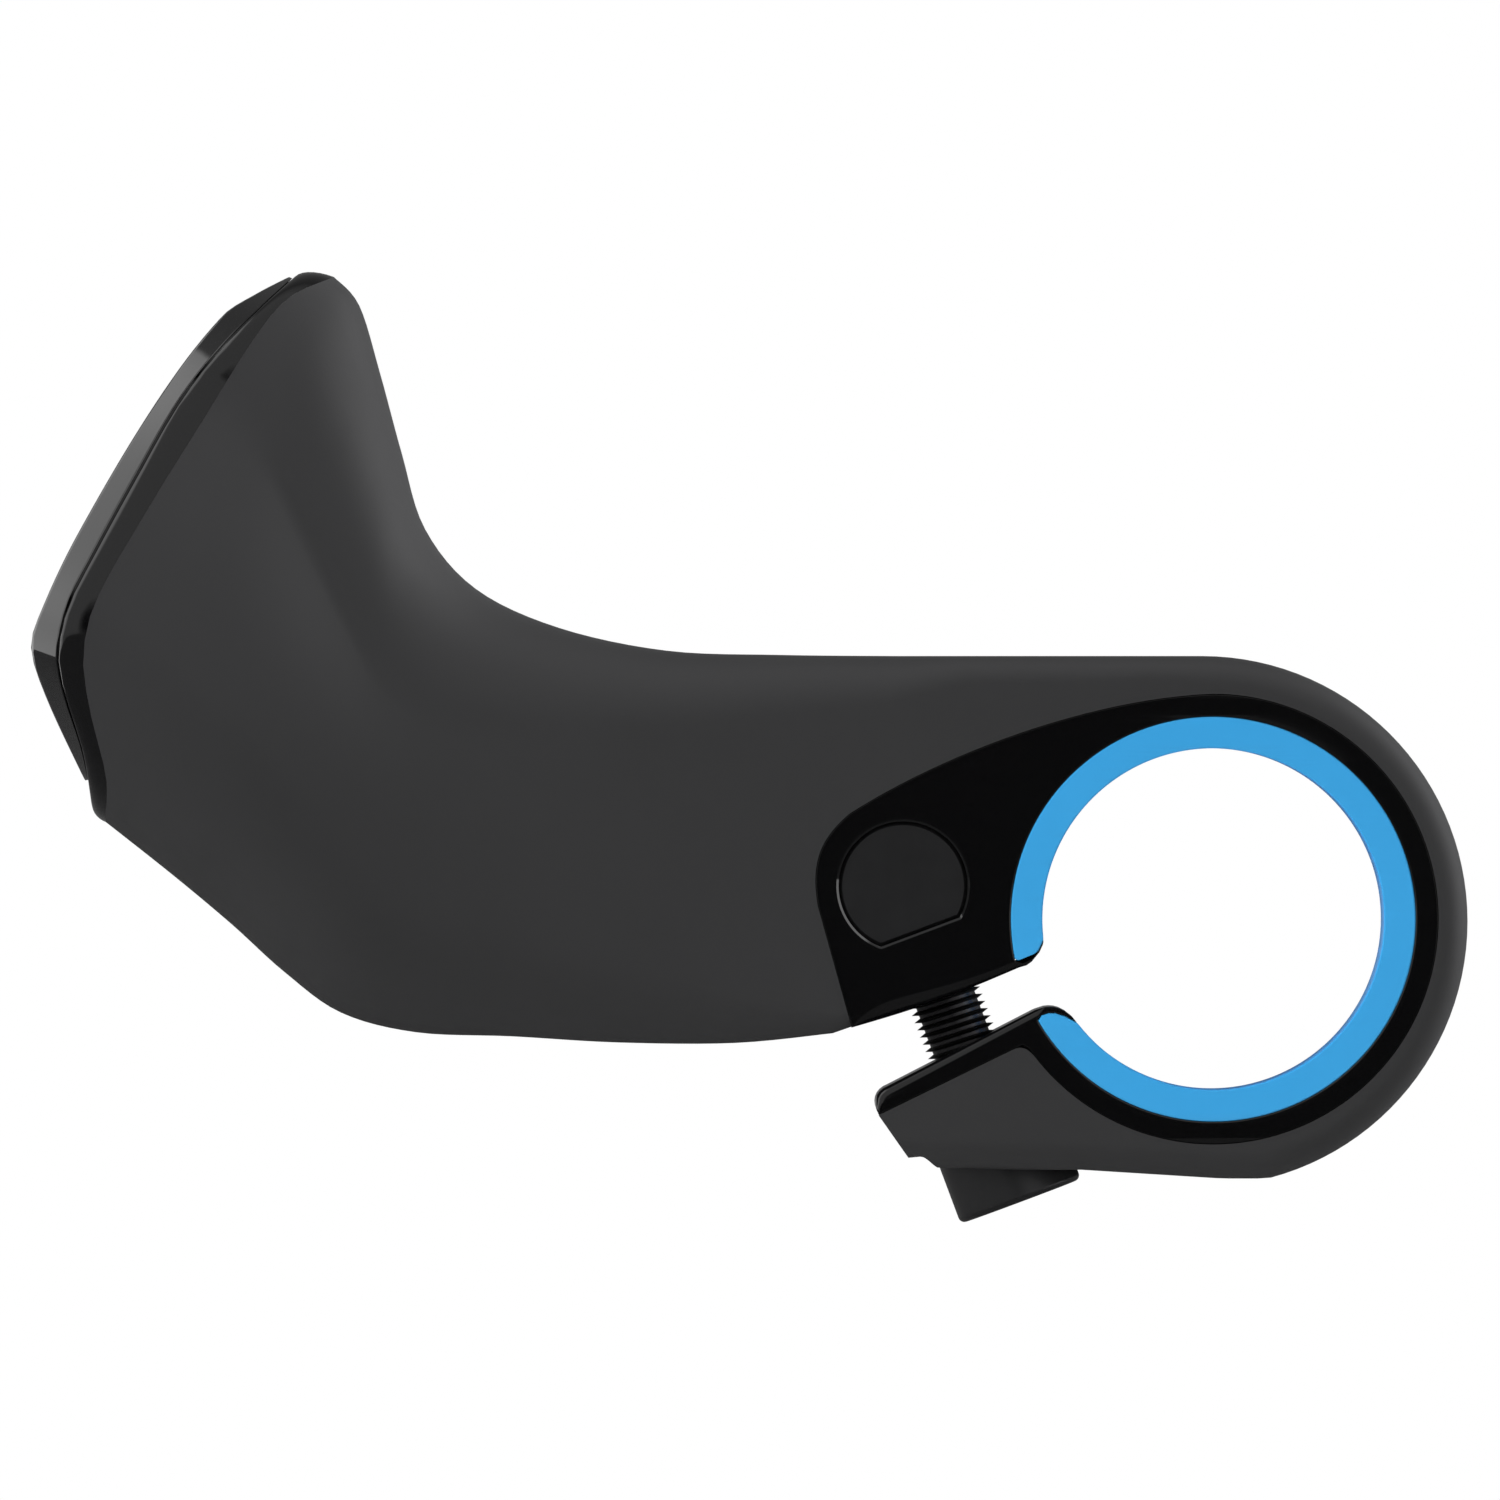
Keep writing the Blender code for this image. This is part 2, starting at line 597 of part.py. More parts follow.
def make_washer(mat):
    """Flat washer under the screw's head, at the bottom of the pocket."""
    low = POCKET_FLOOR + WASHER_GAP
    high = low + WASHER_THICK
    washer = turned("screw_washer", ((WASHER_RADIUS, low), (WASHER_RADIUS, high)))
    hole = SCREW_HOLE_RADIUS
    combine(washer, turned("hole", ((hole, low - 1.0), (hole, high + 1.0))), "DIFFERENCE")
    put_on_screw_line(washer)
    return finish(washer, mat)


def make_liner(mat):
    """Split plastic sleeve between the core and the bar, its ends rounded at the slit."""
    start = SLIT_DEG[1] + 4.6
    end = SLIT_DEG[0] - 4.6 + 360.0
    tip = LINER_WALL / 3
    points = arc((0.0, 0.0), LINER_OUTER, start, end, RING_SEGMENTS)
    points += [ring_point(LINER_OUTER - tip, end + 1.2), ring_point(BAR_RADIUS + tip, end + 0.8)]
    points += arc((0.0, 0.0), BAR_RADIUS, end - 2.0, start + 2.0, RING_SEGMENTS)
    points += [ring_point(BAR_RADIUS + tip, start - 0.8), ring_point(LINER_OUTER - tip, start - 1.2)]
    return finish(slab("bar_liner", points, PAD_HALF_WIDTH), mat)


def make_cap(mat):
    """Glossy faceted cap that plugs the front of the horn."""
    face = moved(rungs(CAP_FACE, profile=CAP_FACE_BOW, steps=CAP_STEPS), CAP_GAP + CAP_EDGE)
    back = moved(rungs(CAP_BACK, profile=RIM_EDGE_BOW, steps=CAP_STEPS), CAP_GAP)
    plug = rungs(RIM_FRONT, MOUTH_INSET + SEAT_GAP, RIM_EDGE_BOW)
    cap = loft("end_cap", [face, back])
    combine(cap, loft("plug", [moved(plug, 3 * CAP_GAP), moved(plug, -PLUG_DEPTH)]), "UNION")
    return finish(cap, mat, 25.0)


def main():
    for old in list(bpy.data.objects):
        bpy.data.objects.remove(old)
    make_core(material("core_black", (0.012, 0.012, 0.013), 0.12))
    make_skin(material("skin_rubber", (0.034, 0.034, 0.035), 0.55))
    make_liner(material("liner_blue", (0.05, 0.35, 0.72), 0.35))
    make_nut(material("nut_steel", (0.03, 0.03, 0.032), 0.35, 0.9))
    make_screw(material("screw_steel", (0.035, 0.035, 0.037), 0.4, 0.9))
    make_washer(material("washer_steel", (0.3, 0.3, 0.31), 0.4, 0.9))
    make_cap(material("cap_black", (0.01, 0.01, 0.011), 0.08))


main()
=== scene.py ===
"""Looks of the clamp-on bicycle bar end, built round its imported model.

Lengths are in millimetres from the centre of the handlebar bore, unless a line says metres.
+Y runs along the handlebar, +Z is up, and the horn points towards -X.
"""
import math

import bmesh
import bpy
from mathutils import Matrix, Vector
from mathutils.geometry import tessellate_polygon


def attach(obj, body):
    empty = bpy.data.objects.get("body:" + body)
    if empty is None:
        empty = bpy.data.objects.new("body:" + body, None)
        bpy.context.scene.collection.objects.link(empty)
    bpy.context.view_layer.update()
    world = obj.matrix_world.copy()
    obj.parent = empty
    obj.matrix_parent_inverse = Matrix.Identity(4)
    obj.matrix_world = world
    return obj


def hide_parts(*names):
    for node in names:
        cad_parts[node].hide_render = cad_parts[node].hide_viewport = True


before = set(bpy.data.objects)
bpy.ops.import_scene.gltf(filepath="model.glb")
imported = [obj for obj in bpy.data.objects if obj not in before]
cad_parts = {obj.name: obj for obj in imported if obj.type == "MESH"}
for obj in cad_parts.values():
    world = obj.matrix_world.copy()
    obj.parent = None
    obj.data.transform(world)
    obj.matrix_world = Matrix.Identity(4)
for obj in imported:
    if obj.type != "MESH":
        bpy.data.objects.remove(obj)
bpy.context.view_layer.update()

# Grip skin: one soft matt moulding over the hard core, from the horn to the lower clamp ear.
# It is moulded on, so it stays put by itself. Its form is a loft of cross-sections, hollow for
# the core, with a window that leaves the core's glossy faces, the bore and the slit open.
MM = 0.001
BAR_RADIUS = 11.1
LINER_OUTER = 13.0
CORE_BORE = 13.15
CORE_RIM = 14.65
RING_RADIUS = 17.1
RING_CENTRE = (-0.7, -0.15)
RING_OUTSIDE = RING_RADIUS - RING_CENTRE[1]
RING_LEFT = -RING_RADIUS
SOLE_LOWEST = (0.6, -RING_RADIUS + 0.23)
SOLE_RISE = 0.062
CROWN = RING_RADIUS
CLAMP_HALF_WIDTH = 8.0
RING_EDGE_ROUND = 1.8
RING_STEP_DEG = 3
SLIT_OUTER = 4.05
SLIT_DEG = (192.8, 208.5)
EAR_LENGTH = 4.5
EAR_END_ROUND = 0.45
EAR_STRIP = 1.45
EAR_BULGE = 0.25
LOWER_EAR_CORNER = (RING_LEFT - EAR_LENGTH, -RING_RADIUS + 6.0)
UPPER_EAR_CORNER = (RING_LEFT - EAR_LENGTH - 1.9, LOWER_EAR_CORNER[1] + SLIT_OUTER)
FOOT_LEVEL = UPPER_EAR_CORNER[1]
HORN_REACH = 40.1
HORN_RISE = 24.7
HORN_HALF_WIDTH = 12.8
SKIN_WALL = 1.8
SKIN_CORNER_ROUND = 0.7
EDGE_LEAST_ROUND = 0.4
NUT_CENTRE = (RING_LEFT - 3.05, 2.15)
# Two pieces that touch overlap by this little, so that no light shows between them.
SKIN_SEAM = -0.005
# How far an edge bows forward of its chord, as (place along the chord, distance).
SKIN_EDGE_BOW = (
    (0.0, 0.0), (0.07, 1.0), (0.16, 3.5), (0.24, 5.3), (0.33, 6.0),
    (0.5, 5.3), (0.67, 4.3), (0.86, 3.1), (0.94, 2.1), (1.0, 0.0),
)
# Steps per corner and per flank of a cross-section, and between two given ones
SKIN_STEPS = (12, 10)
KEY_STEPS = 6


def arc(centre, radius, start_deg, end_deg, steps):
    """Points on a circle in the side view, both ends included."""
    points = []
    for i in range(steps + 1):
        angle = math.radians(start_deg + (end_deg - start_deg) * i / steps)
        points.append((centre[0] + radius * math.cos(angle), centre[1] + radius * math.sin(angle)))
    return points


def ring_point(radius, angle_deg, centre=(0.0, 0.0)):
    """A side-view point this far round the bar's circle."""
    return arc(centre, radius, angle_deg, angle_deg, 1)[0]


def curve(p0, p1, p2, p3, steps):
    """Points on a cubic curve, the last one left out."""
    points = []
    for i in range(steps):
        t = i / steps
        a, b, c, d = (1 - t) ** 3, 3 * t * (1 - t) ** 2, 3 * t * t * (1 - t), t ** 3
        x = a * p0[0] + b * p1[0] + c * p2[0] + d * p3[0]
        z = a * p0[1] + b * p1[1] + c * p2[1] + d * p3[1]
        points.append((x, z))
    return points


def mesh_piece(name, points, faces):
    """An object from points in millimetres, with its faces turned outward."""
    mesh = bpy.data.meshes.new(name)
    mesh.from_pydata([Vector(point) * MM for point in points], [], faces)
    shape = bmesh.new()
    shape.from_mesh(mesh)
    bmesh.ops.recalc_face_normals(shape, faces=shape.faces)
    shape.to_mesh(mesh)
    shape.free()
    piece = bpy.data.objects.new(name, mesh)
    bpy.context.scene.collection.objects.link(piece)
    return piece


def walls(rings, count, first=0):
    """Faces between closed rings of points that follow each other, with this many in each."""
    faces = []
    for row in range(rings - 1):
        a, b = first + row * count, first + (row + 1) * count
        for i in range(count):
            j = (i + 1) % count
            faces.append([a + i, a + j, b + j, b + i])
    return faces


def slab(name, outline, half_width):
    """A side-view outline given thickness along Y."""
    count = len(outline)
    points = [(x, -half_width, z) for x, z in outline]
    points += [(x, half_width, z) for x, z in outline]
    faces = [list(range(count)), list(range(2 * count - 1, count - 1, -1))]
    return mesh_piece(name, points, faces + walls(2, count))


def bake_modifiers(piece):
    """Makes a piece's live modifiers part of its mesh."""
    bpy.context.view_layer.update()
    graph = bpy.context.evaluated_depsgraph_get()
    result = bpy.data.meshes.new_from_object(piece.evaluated_get(graph))
    piece.modifiers.clear()
    piece.data = result


def combine(target, tool, operation):
    """Joins the tool to the target or cuts it away, then drops the tool."""
    step = target.modifiers.new("step", "BOOLEAN")
    step.operation = operation
    step.solver = "EXACT"
    step.object = tool
    bake_modifiers(target)
    bpy.data.objects.remove(tool)


def section(top, foot, flare, top_round, foot_round, belly=0.0, bow=0.0):
    """One cross-section of the horn or arm, in shares of the horn's reach, rise and width.

    top and foot are (share of the reach, share of the rise), the top's rise counted from
    the ring's crown and the foot's from the upper ear's corner. flare is how far the top
    and the foot widen from the clamp's width to the horn's. A round is (share of the rise
    along the section, share of the half width). belly swells the flank, bow bends it forward.
    """
    top_point = (RING_LEFT - top[0] * HORN_REACH, CROWN + top[1] * HORN_RISE)
    foot_point = (RING_LEFT - foot[0] * HORN_REACH, FOOT_LEVEL + foot[1] * HORN_RISE)
    widening = HORN_HALF_WIDTH - CLAMP_HALF_WIDTH
    top_half = CLAMP_HALF_WIDTH + flare[0] * widening
    foot_half = CLAMP_HALF_WIDTH + flare[1] * widening
    top_edge = (top_round[0] * HORN_RISE, top_round[1] * top_half)
    foot_edge = (foot_round[0] * HORN_RISE, foot_round[1] * foot_half)
    return (*top_point, *foot_point, top_half, foot_half, *top_edge, *foot_edge, belly, bow, 1.0)


HORN_AND_ARM = (
    section((1.0, 1.0), (1.37, 0.54), (-0.21, 0.92), (0.405, 0.86), (0.486, 0.89), 0.9, 1.0),
    section((0.959, 0.925), (1.26, 0.399), (-0.08, 1.0), (0.425, 0.87), (0.486, 0.87), 0.9, 0.72),
    section((0.925, 0.745), (1.165, 0.27), (0.04, 0.96), (0.445, 0.88), (0.486, 0.86), 0.8, 0.46),
    section((0.89, 0.535), (1.08, 0.145), (0.15, 0.79), (0.445, 0.87), (0.445, 0.85), 0.7, 0.24),
    section((0.852, 0.335), (0.988, 0.038), (0.21, 0.58), (0.425, 0.87), (0.385, 0.81), 0.5, 0.08),
    section((0.77, 0.178), (0.866, -0.0135), (0.17, 0.35), (0.364, 0.77), (0.324, 0.72), 0.3),
    section((0.635, 0.075), (0.71, -0.024), (0.08, 0.19), (0.283, 0.64), (0.263, 0.58), 0.2),
    section((0.46, 0.0145), (0.537, -0.04), (0.02, 0.06), (0.21, 0.52), (0.194, 0.46), 0.1),
    section((0.274, 0.003), (0.348, -0.041), (0.0, 0.0), (0.162, 0.42), (0.13, 0.35)),
    section((0.087, 0.0), (0.19, -0.015), (0.0, 0.0), (0.13, 0.36), (0.049, 0.15)),
)
SKIN_FRONT = HORN_AND_ARM[0]


def between(keys, steps):
    """Smooth cross-sections through the given ones."""
    out = []
    for i in range(len(keys) - 1):
        before, start = keys[max(i - 1, 0)], keys[i]
        end, after = keys[i + 1], keys[min(i + 2, len(keys) - 1)]
        for k in range(steps):
            t = k / steps
            row = []
            for a, b, c, d in zip(before, start, end, after):
                slope_b, slope_c = (c - a) / 2, (d - b) / 2
                row.append(
                    b * (2 * t ** 3 - 3 * t ** 2 + 1) + c * (3 * t ** 2 - 2 * t ** 3)
                    + slope_b * (t ** 3 - 2 * t ** 2 + t) + slope_c * (t ** 3 - t ** 2)
                )
            out.append(tuple(row))
    out.append(keys[-1])
    return out


def clamp_section(top, foot):
    """A flat-sided cross-section of the clamp, rounded only along its outer edge."""
    half = (CLAMP_HALF_WIDTH, CLAMP_HALF_WIDTH)
    edges = (RING_EDGE_ROUND, RING_EDGE_ROUND, EDGE_LEAST_ROUND, EDGE_LEAST_ROUND)
    return (*top, *foot, *half, *edges, 0.0, 0.0, 0.0)


UPPER_EAR_TOE = ring_point(LINER_OUTER, SLIT_DEG[0] + 1.2)
LOWER_EAR_TOE = ring_point(LINER_OUTER, SLIT_DEG[1] - 1.5)


def underside(x):
    """Level of the ring's flattened underside at this x."""
    return SOLE_LOWEST[1] + SOLE_RISE * max(SOLE_LOWEST[0] - x, 0.0)


def clamp_sections():
    """From the upper ear over the top of the ring and round to its underside."""
    inner = LINER_OUTER - 1.0
    middle = (
        (2 * UPPER_EAR_CORNER[0] + 3 * UPPER_EAR_TOE[0]) / 5,
        (2 * UPPER_EAR_CORNER[1] + 3 * UPPER_EAR_TOE[1]) / 5,
    )
    out = [
        clamp_section((RING_LEFT + 1.0, CROWN), middle),
        clamp_section((RING_LEFT + 5.0, CROWN), UPPER_EAR_TOE),
    ]
    for top_share, angle in ((0.53, 180.0), (0.36, 158.0), (0.2, 132.0), (0.08, 108.0)):
        out.append(clamp_section((RING_LEFT * top_share, CROWN), ring_point(inner, angle)))
    for angle in range(90, -103, -RING_STEP_DEG):
        x, z = ring_point(RING_OUTSIDE, angle, RING_CENTRE)
        out.append(clamp_section((x, max(z, underside(x))), ring_point(inner, angle)))
    return out


def lower_ear_sections():
    """The lower clamp ear, from the ring out to its free end."""
    sole = -RING_RADIUS + 0.9
    left, top = LOWER_EAR_CORNER
    toe_x, toe_z = LOWER_EAR_TOE
    return [
        clamp_section((0.5 * RING_LEFT, sole - 0.1), ring_point(LINER_OUTER - 1.0, 226.0)),
        clamp_section((toe_x - 0.8, sole - 0.1), (toe_x + 0.1, toe_z - 0.2)),
        clamp_section((toe_x - 4.4, sole), (toe_x - 4.2, 0.6 * toe_z + 0.4 * top)),
        clamp_section((left + 3.2, sole + 0.05), (left + 1.2, top + 0.55)),
        clamp_section((left + 1.85, sole + 0.6), (left - 0.6, top - 1.0)),
    ]


def bow_at(profile, place):
    """How far an edge bows forward at this place along its chord, as a smooth curve."""
    place = min(max(place, 0.0), 1.0)
    last = len(profile) - 1
    i = 0
    while i < last - 1 and place > profile[i + 1][0]:
        i += 1
    slopes = []
    for k in (i, i + 1):
        low, high = profile[max(k - 1, 0)], profile[min(k + 1, last)]
        slopes.append((high[1] - low[1]) / (high[0] - low[0]))
    (x0, y0), (x1, y1) = profile[i], profile[i + 1]
    width = x1 - x0
    t = (place - x0) / width
    rise = y0 * (2 * t ** 3 - 3 * t ** 2 + 1) + y1 * (3 * t ** 2 - 2 * t ** 3)
    turn = slopes[0] * (t ** 3 - 2 * t ** 2 + t) + slopes[1] * (t ** 3 - t ** 2)
    return rise + turn * width


def rungs(row, inset=0.0, profile=SKIN_EDGE_BOW, foot_inset=None, steps=SKIN_STEPS):
    """Points down one side of a cross-section, from its foot to its top."""
    top, foot = Vector(row[0:2]), Vector(row[2:4])
    top_half, foot_half, top_along, top_across = row[4:8]
    foot_along, foot_across, belly, bow, cover = row[8:13]
    length = (top - foot).length
    along = (top - foot) / length
    forward = Vector((-along.y, along.x))
    start = inset * cover if foot_inset is None else foot_inset
    end = length - inset
    low, high = foot_half - inset, top_half - inset
    foot_along = max(foot_along - 0.8 * inset, EDGE_LEAST_ROUND)
    foot_across = max(foot_across - inset, EDGE_LEAST_ROUND)
    top_along = max(top_along - 0.8 * inset, EDGE_LEAST_ROUND)
    top_across = max(top_across - inset, EDGE_LEAST_ROUND)
    corner_steps, flank_steps = steps
    points = []
    for i in range(corner_steps + 1):
        angle = math.pi / 2 * i / corner_steps
        place = start + foot_along * (1 - math.cos(angle))
        points.append((place, low - foot_across * (1 - math.sin(angle))))
    side_start, side_end = start + foot_along, end - top_along
    for i in range(1, flank_steps + 1):
        t = i / (flank_steps + 1)
        swell = belly * math.sin(math.pi * t)
        points.append((side_start + (side_end - side_start) * t, low + (high - low) * t + swell))
    for i in range(corner_steps, -1, -1):
        angle = math.pi / 2 * i / corner_steps
        place = end - top_along * (1 - math.cos(angle))
        points.append((place, high - top_across * (1 - math.sin(angle))))
    out = []
    for place, half in points:
        spot = foot + along * place + forward * (bow * bow_at(profile, place / length))
        out.append(Vector((spot.x, half, spot.y)))
    return out


def loft(name, sides):
    """A closed body through cross-sections, each given by the points down its +Y side."""
    height = len(sides[0])
    ring = 2 * height
    points = []
    for side in sides:
        points += [tuple(p) for p in side]
        points += [(p.x, -p.y, p.z) for p in reversed(side)]
    faces = walls(len(sides), ring)
    last = (len(sides) - 1) * ring
    for i in range(height - 1):
        faces.append([i, i + 1, ring - 2 - i, ring - 1 - i])
        faces.append([last + i, last + ring - 1 - i, last + ring - 2 - i, last + i + 1])
    return mesh_piece(name, points, faces)


def off_the_chord(row):
    """The way straight forward off the line between a cross-section's top and foot."""
    along = Vector(row[0:2]) - Vector(row[2:4])
    return Vector((-along.y, 0.0, along.x)).normalized()


def rounded_end(row, edge_round, steps=4):
    """Cross-sections that round off the free end of a loft after this last one."""
    outward = off_the_chord(row)
    sides = []
    for i in range(1, steps + 1):
        angle = math.pi / 2 * i / steps
        inset = edge_round * (1 - math.cos(angle))
        ahead = outward * (edge_round * math.sin(angle))
        sides.append([p + ahead for p in rungs(row, inset, foot_inset=inset)])
    return sides


def pad_outer_edge(grow=0.0):
    """Edge of the glossy side face, from the upper ear round the ring to the lower ear."""
    nut_x, nut_z = NUT_CENTRE
    low = (UPPER_EAR_CORNER[0] - grow, UPPER_EAR_CORNER[1])
    left = (nut_x - 5.55 - grow, nut_z - 1.3)
    shoulder = (nut_x - 3.5 - 0.6 * grow, nut_z + 4.7 + 0.8 * grow)
    crown = (0.0, CORE_RIM + grow)
    points = [low]
    points += curve(left, (left[0] - 0.5, left[1] + 2.9), (left[0] + 0.2, left[1] + 4.4), shoulder, 16)
    middle_x = (2 * shoulder[0] + crown[0]) / 3
    points += curve(shoulder, (middle_x - 1.8, nut_z + 8.6 + grow), (-8.0, crown[1] - 0.3), crown, 24)
    points += arc((0.0, 0.0), CORE_RIM + grow, 90, SLIT_DEG[1] + 6.5 - 360.0, 110)
    return points


def ear_strip_edge(grow=0.0, reach=0.0):
    """Lower edge of the glossy strip along the lower ear, out to the ear's free end."""
    drop = EAR_STRIP + grow
    left, top = LOWER_EAR_CORNER
    slope = (LOWER_EAR_TOE[1] - top) / (LOWER_EAR_TOE[0] - left)
    start_x = LOWER_EAR_TOE[0] - 1.4
    corner = Vector((start_x + 0.6, top + slope * (start_x - left) - drop - 0.1))
    far = Vector((left - 4.3, top - 4.3 * slope - drop))
    end = corner.lerp(far, (left - 0.1 - reach - corner.x) / (far.x - corner.x))
    return [tuple(corner), tuple(end)]


def soft_corner(before, corner, after, radius, steps=8):
    """Points that round off a corner, from radius before it to radius after it."""
    here = Vector(corner)
    start = here + (Vector(before) - here).normalized() * radius
    end = here + (Vector(after) - here).normalized() * radius
    points = []
    for i in range(steps + 1):
        t = i / steps
        point = start * (1 - t) ** 2 + here * (2 * t * (1 - t)) + end * t * t
        points.append((point.x, point.y))
    return points


def skin_window_outline():
    """What the skin leaves open at the clamp: the glossy face, the bore and the slit."""
    points = [(UPPER_EAR_CORNER[0] + 0.1, UPPER_EAR_CORNER[1] - 2.0)]
    strip_edge = ear_strip_edge(SKIN_SEAM, reach=4.0)
    corner = Vector(strip_edge[0])
    ring_edge = pad_outer_edge(SKIN_SEAM)
    while (Vector(ring_edge[-1]) - corner).length < SKIN_CORNER_ROUND + 0.1:
        ring_edge.pop()
    points += ring_edge
    points += soft_corner(ring_edge[-1], strip_edge[0], strip_edge[-1], SKIN_CORNER_ROUND)
    points.append(strip_edge[-1])
    points.append((UPPER_EAR_CORNER[0] - 3.5, UPPER_EAR_CORNER[1] - SLIT_OUTER))
    return points


def ahead_of_horn(side, distance):
    """A cross-section's points moved straight forward off the horn."""
    forward = off_the_chord(RIM_FRONT)
    return [p + forward * distance for p in side]


def ear_block(inset, foot_inset):
    """Cross-sections of the lower ear's hard inside, drawn back from its skin."""
    left, top = LOWER_EAR_CORNER
    end = clamp_section((left + 1.85 + inset, -RING_RADIUS + 1.2), (left - 0.4 + inset, top + 0.8))
    rows = clamp_sections()[-1:] + lower_ear_sections()[:3] + [end]
    return [rungs(row, inset, foot_inset=foot_inset) for row in rows]


# The screw's line leans from straight down. Heights along it count from the barrel nut's
# centre towards the screw's head.
SCREW_START = Vector((NUT_CENTRE[0], 0.0, NUT_CENTRE[1]))
SCREW_LEAN_DEG = 20.5
SCREW_LEAN = math.radians(SCREW_LEAN_DEG)
SCREW_DOWN = Vector((math.sin(SCREW_LEAN), 0.0, -math.cos(SCREW_LEAN)))
HEAD_END = RING_RADIUS + 4.85
POCKET_RADIUS = 4.75
POCKET_FLOOR = 15.95
POCKET_OVERRUN = 8.0
TURNED_SEGMENTS = 96


def turned(name, profile, segments=TURNED_SEGMENTS):
    """A round piece from (radius, height) points, closed at both ends, on the screw's line."""
    side = Vector((math.cos(SCREW_LEAN), 0.0, math.sin(SCREW_LEAN)))
    points = []
    for radius, height in profile:
        for i in range(segments):
            angle = 2 * math.pi * i / segments
            spoke = side * math.cos(angle) + Vector((0.0, 1.0, 0.0)) * math.sin(angle)
            points.append(SCREW_START + SCREW_DOWN * height + spoke * radius)
    faces = [list(range(segments))] + walls(len(profile), segments)
    last = (len(profile) - 1) * segments
    faces.append([last + i for i in reversed(range(segments))])
    return mesh_piece(name, points, faces)


def ear_notch():
    """The small step where the pocket's mouth meets the lower ear's free end."""
    left, level = LOWER_EAR_CORNER[0] + 1.75, LOWER_EAR_CORNER[1] - 4.37
    outline = [(left - 1.0, level - 0.13), (left, level - 0.05), (left + 0.8, level + 0.03)]
    outline += curve((left + 1.0, level), (left + 1.35, level - 0.15), (left + 1.6, level - 0.5),
                     (left + 1.95, level - 0.7), 8)
    outline += [(left + 1.95, level - 0.7), (left + 1.95, level - 2.0), (left - 1.0, level - 2.0)]
    return slab("notch", outline[::-1], 2 * CLAMP_HALF_WIDTH)


def screw_pocket():
    """The round pocket in the lower ear that the screw's head sinks into."""
    return turned("pocket", ((POCKET_RADIUS, POCKET_FLOOR), (POCKET_RADIUS, HEAD_END + POCKET_OVERRUN)))


def front_section(foot, narrower):
    """The rim's and cap's cross-section, narrower than the skin's front by this much."""
    row = section((1.065, 0.995), foot, (-0.21, 0.92), (0.364, 0.86), (0.425, 0.89), 0.9, 1.0)
    halves = (row[4] - narrower, row[5] - narrower)
    across = (row[7] - narrower, row[9] - narrower)
    return (*row[:4], *halves, row[6], across[0], row[8], across[1], *row[10:])


RIM_STEP = 0.45
RIM_FRONT = front_section((1.391, 0.595), RIM_STEP)
# How far the horn's inside runs out past its front, and how far in from the slit the ear's begins
HORN_OVERRUN = 6.0
EAR_INSIDE_FOOT = 0.2

skin_rows = between(HORN_AND_ARM, KEY_STEPS) + clamp_sections() + lower_ear_sections()
skin_sides = [rungs(row) for row in skin_rows]
skin_sides += rounded_end(skin_rows[-1], EAR_END_ROUND)
skin = loft("skin", skin_sides)
inside = [rungs(row, SKIN_WALL) for row in between(HORN_AND_ARM, KEY_STEPS)]
inside.insert(0, ahead_of_horn(inside[0], HORN_OVERRUN))
combine(skin, loft("inside", inside), "DIFFERENCE")
combine(skin, slab("window", skin_window_outline(), 2 * HORN_HALF_WIDTH), "DIFFERENCE")
combine(skin, loft("ear_inside", ear_block(SKIN_WALL, EAR_INSIDE_FOOT)), "DIFFERENCE")
combine(skin, screw_pocket(), "DIFFERENCE")
combine(skin, ear_notch(), "DIFFERENCE")


def smooth(piece, sharp_deg=35.0, flat_faces=False):
    """Smooth round faces with sharp edges, and evenly lit flat ones if asked."""
    piece.data.shade_smooth()
    piece.data.set_sharp_from_angle(angle=math.radians(sharp_deg))
    if flat_faces:
        even = piece.modifiers.new("even", "WEIGHTED_NORMAL")
        even.mode = "FACE_AREA"
        even.keep_sharp = True
        bake_modifiers(piece)


def add_node(tree, kind, inputs=(), **settings):
    """A node with its settings, and its inputs given as (socket, value or another's output)."""
    made = tree.nodes.new(kind)
    for key, value in settings.items():
        setattr(made, key, value)
    for socket, value in inputs:
        if isinstance(value, bpy.types.NodeSocket):
            tree.links.new(value, made.inputs[socket])
        else:
            made.inputs[socket].default_value = value
    return made


MOTTLE_SIZE = 9.0
SHINE_SPREAD = 0.07


